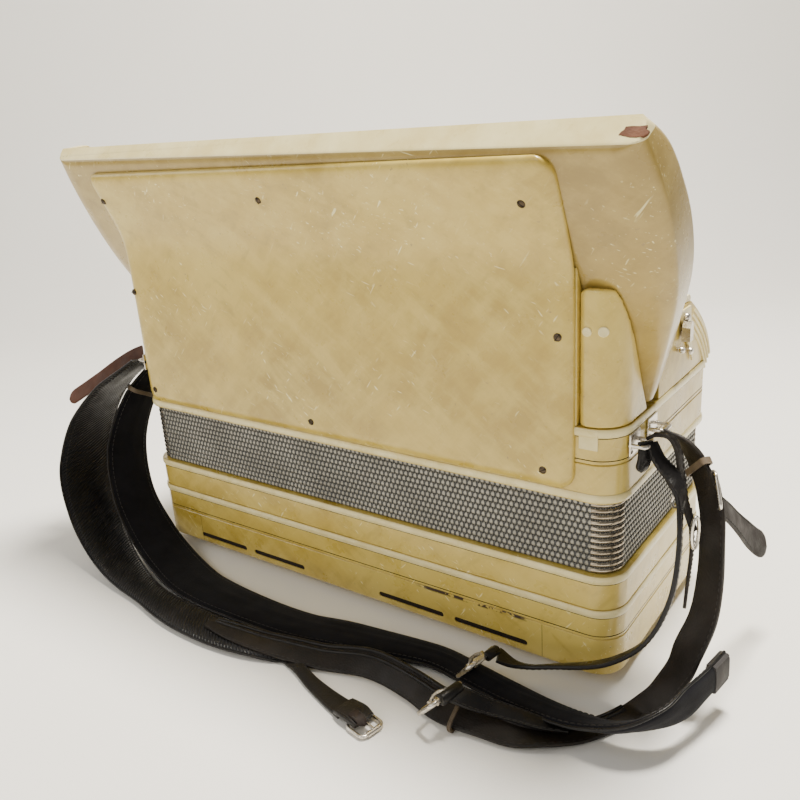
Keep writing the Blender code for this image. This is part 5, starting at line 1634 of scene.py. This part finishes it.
def buckle(name, node, centre, along, across, long, wide, wire):
    """A wire frame with round corners, a roller on its front bar and a prong across it."""
    along, across = Vector(along).normalized(), Vector(across).normalized()
    across = (across - along * across.dot(along)).normalized()
    up, centre = along.cross(across), Vector(centre)
    half_long, half_wide, corner = long / 2 - wire / 2, wide / 2 - wire / 2, 0.0040
    path = []
    for quarter, (sx, sy) in enumerate(((1, 1), (-1, 1), (-1, -1), (1, -1))):
        for a, b in arc(
            (sx * (half_long - corner), sy * (half_wide - corner)), corner, 90 * quarter, 90 * quarter + 90,
            6
        ):
            path.append(centre + along * a + across * b)
    shapes = Shapes()
    shapes.add(*tube(path, wire / 2, 12, closed=True))
    bar = [
        centre + along * half_long + across * b
        for b in np.linspace(-half_wide + corner, half_wide - corner, 6)
    ]
    shapes.add(*tube(bar, wire * 0.72, 14))
    hinge = [centre - along * half_long + across * b for b in np.linspace(-0.0030, 0.0030, 5)]
    shapes.add(*tube(hinge, wire * 0.80, 12))
    prong = []
    for s in np.linspace(0.0, 1.0, 9):
        rise = wire * (0.55 + 0.55 * math.sin(math.pi * min(s * 1.1, 1.0)) + 0.25 * s)
        prong.append(
            centre - along * half_long + along * (2 * half_long + wire * 0.5) * s + up * rise
        )
    shapes.add(*tube(prong, wire * 0.42, 10))
    shapes.make(name, (DULL_METAL,), TREBLE, (node,) if node else (), "chrome", sharp=50.0)


def buckles():
    buckle(
        "inner_buckle", "inner_strap_buckle", (0.1475, -0.1330, 0.0105), (0.66, -0.13, 0.74),
        (0.15, 1, 0.0), 0.024, 0.033, 0.0034
    )
    buckle(
        "outer_buckle", "outer_strap_buckle", (0.1475, -0.1815, 0.0125), (0.68, -0.13, 0.72),
        (0.15, 1, 0.0), 0.024, 0.033, 0.0034
    )
    buckle(
        "back_buckle", "back_strap_buckle", (0.1055, -0.2120, -0.0055), (1, -0.2, 0), (0.2, 1, 0), 0.020,
        0.022, 0.0026
    )


def brackets():
    """Strap brackets: a screwed plate and a wire staple that the strap's loop passes through."""
    for node in ("strap_bracket_left", "strap_bracket_right_rear", "strap_bracket_right_front"):
        low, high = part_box(node)
        side = -1 if low[0] < 0 else 1
        face = min(abs(low[0]), abs(high[0]))
        shapes = Shapes()
        plate_x = sorted((side * face, side * (face + 0.0014)))
        plate_low = (plate_x[0], low[1] + 0.0005, low[2] - 0.0015)
        plate_high = (plate_x[1], high[1] - 0.0005, high[2] + 0.0015)
        shapes.add(*rounded_box(plate_low, plate_high, 0.0005, 3))
        z = (low[2] + high[2]) / 2
        out = max(abs(low[0]), abs(high[0])) - 0.0015
        y_low, y_high = low[1] + 0.0020, high[1] - 0.0020
        path = [(side * face, y_low, z)]
        path += [
            (side * (out - 0.003 + 0.003 * math.sin(a)), y_low + 0.003 - 0.003 * math.cos(a), z)
            for a in np.linspace(0, math.pi / 2, 6)
        ]
        path += [
            (side * (out - 0.003 + 0.003 * math.cos(a)), y_high - 0.003 + 0.003 * math.sin(a), z)
            for a in np.linspace(0, math.pi / 2, 6)
        ]
        path.append((side * face, y_high, z))
        shapes.add(*tube(path, 0.0015, 12))
        for y in (low[1] + 0.002, high[1] - 0.002):
            screw(
                shapes, (side * (face + 0.0013), y + 0.0008, low[2] + 0.0012), (side, 0.0, 0.0), 0.0014,
                which=0
            )
        shapes.make(node + "_staple", (DULL_METAL, SEAMS_AND_SHADE), TREBLE, (node,), "chrome", sharp=50.0)


def small_marks():
    """A pale patch on the treble box and a chip of bare wood at the bed's upper corner."""
    patch = Shapes()
    patch.add(*rounded_box((0.2075, -0.09495, 0.1725), (0.2205, -0.0940, 0.1865), 0.0002, 1))
    patch.make("repair_patch", (BEADS,), TREBLE, slot="ivory_celluloid")
    chip = Shapes()
    rim = []
    for k in range(14):
        angle = 2 * math.pi * k / 14
        ragged = 1.0 + 0.75 * noise.noise(Vector((k * 1.7, 3.0, 0.0)))
        rim.append((0.2490 + 0.0080 * ragged * math.cos(angle), 0.0090 + 0.0032 * ragged * math.sin(angle)))
    rise = (BED_END_U[1] - BED_END_U[0]) / BED_END_N[1]

    def place(a, b, c):
        return a, *bed_point(BED_END_U[0] + rise * b + c, b)

    chip.add(*rounded_prism(rim, -0.0010, 0.00025, place))
    chip.make("bare_wood_chip", (CHIP_WOOD,), TREBLE, slot="wood")


# ---------------------------------------------------------- stage, light, camera


def camera():
    turn, tilt, roll = CAMERA_TURN, CAMERA_TILT, CAMERA_ROLL
    back = Vector((math.sin(turn) * math.cos(tilt), -math.cos(turn) * math.cos(tilt), math.sin(tilt)))
    right = Vector((math.cos(turn), math.sin(turn), 0.0))
    up = back.cross(right)
    rolled_right = right * math.cos(roll) - up * math.sin(roll)
    rolled_up = right * math.sin(roll) + up * math.cos(roll)
    made = bpy.data.objects.new("photo_camera", bpy.data.cameras.new("photo_camera"))
    bpy.context.scene.collection.objects.link(made)
    turned = Matrix((rolled_right, rolled_up, back)).transposed().to_4x4()
    made.matrix_world = Matrix.Translation(CAMERA_AT) @ turned
    made.data.lens, made.data.sensor_width, made.data.clip_start = LENS, 36.0, 0.01
    bpy.context.scene.camera = made


def area_light(name, at, to, size, power, colour):
    data = bpy.data.lights.new(name, "AREA")
    data.shape, data.size, data.energy, data.color = "DISK", size, power, colour
    made = bpy.data.objects.new(name, data)
    made.location = at
    made.rotation_euler = (Vector(to) - Vector(at)).to_track_quat("-Z", "Y").to_euler()
    bpy.context.scene.collection.objects.link(made)


def stage():
    """A pale table top and a pale wall far behind it, seen from the camera's side."""
    wide = 4.0
    back = Vector((-math.sin(CAMERA_TURN), math.cos(CAMERA_TURN), 0.0))
    side = Vector((math.cos(CAMERA_TURN), math.sin(CAMERA_TURN), 0.0))
    profile = [(-3.0, 0.0), (0.0, 0.0), (0.9, 0.0)]
    profile += [
        (0.9 + 0.5 * math.sin(a), 0.5 - 0.5 * math.cos(a)) for a in np.linspace(0.1, math.pi / 2, 12)
    ]
    profile.append((1.4, 2.6))
    points = [
        side * s * wide + back * out + Vector((0.0, 0.0, FLOOR_Z + up)) for out, up in profile
        for s in (-1, 1)
    ]
    faces = [(2 * k, 2 * k + 1, 2 * k + 3, 2 * k + 2) for k in range(len(profile) - 1)]
    backdrop = Shapes().add(points, faces)
    backdrop = backdrop.make(
        "pale_sweep", (table_cloth("pale_cloth", (0.90, 0.88, 0.835), (0.93, 0.91, 0.87)),), None
    )
    area_light("key_light", (0.22, 0.22, 1.70), (0.0, -0.10, 0.1), 0.42, 78.0, (1.0, 0.95, 0.85))
    area_light("fill_light", (-0.10, -1.7, 1.1), (0.0, 0.0, 0.15), 1.3, 10.0, (1.0, 0.95, 0.86))
    area_light("left_light", (-1.3, -0.9, 0.9), (0.0, 0.0, 0.15), 0.8, 5.0, (1.0, 0.98, 0.94))
    world = bpy.data.worlds.new("studio")
    world.use_nodes = True
    world.node_tree.nodes["Background"].inputs["Color"].default_value = (0.86, 0.84, 0.80, 1.0)
    world.node_tree.nodes["Background"].inputs["Strength"].default_value = 0.36
    bpy.context.scene.world = world


camera()
case_frames()
bass_end()
bass_buttons()
bellows()
rear_cover()
back_frame()
keyboard_bed()
keyboard()
grille()
ends_trim()
hidden_works()
shoulder_pads()
leather_straps()
strap_ends()
buckles()
brackets()
small_marks()
stage()
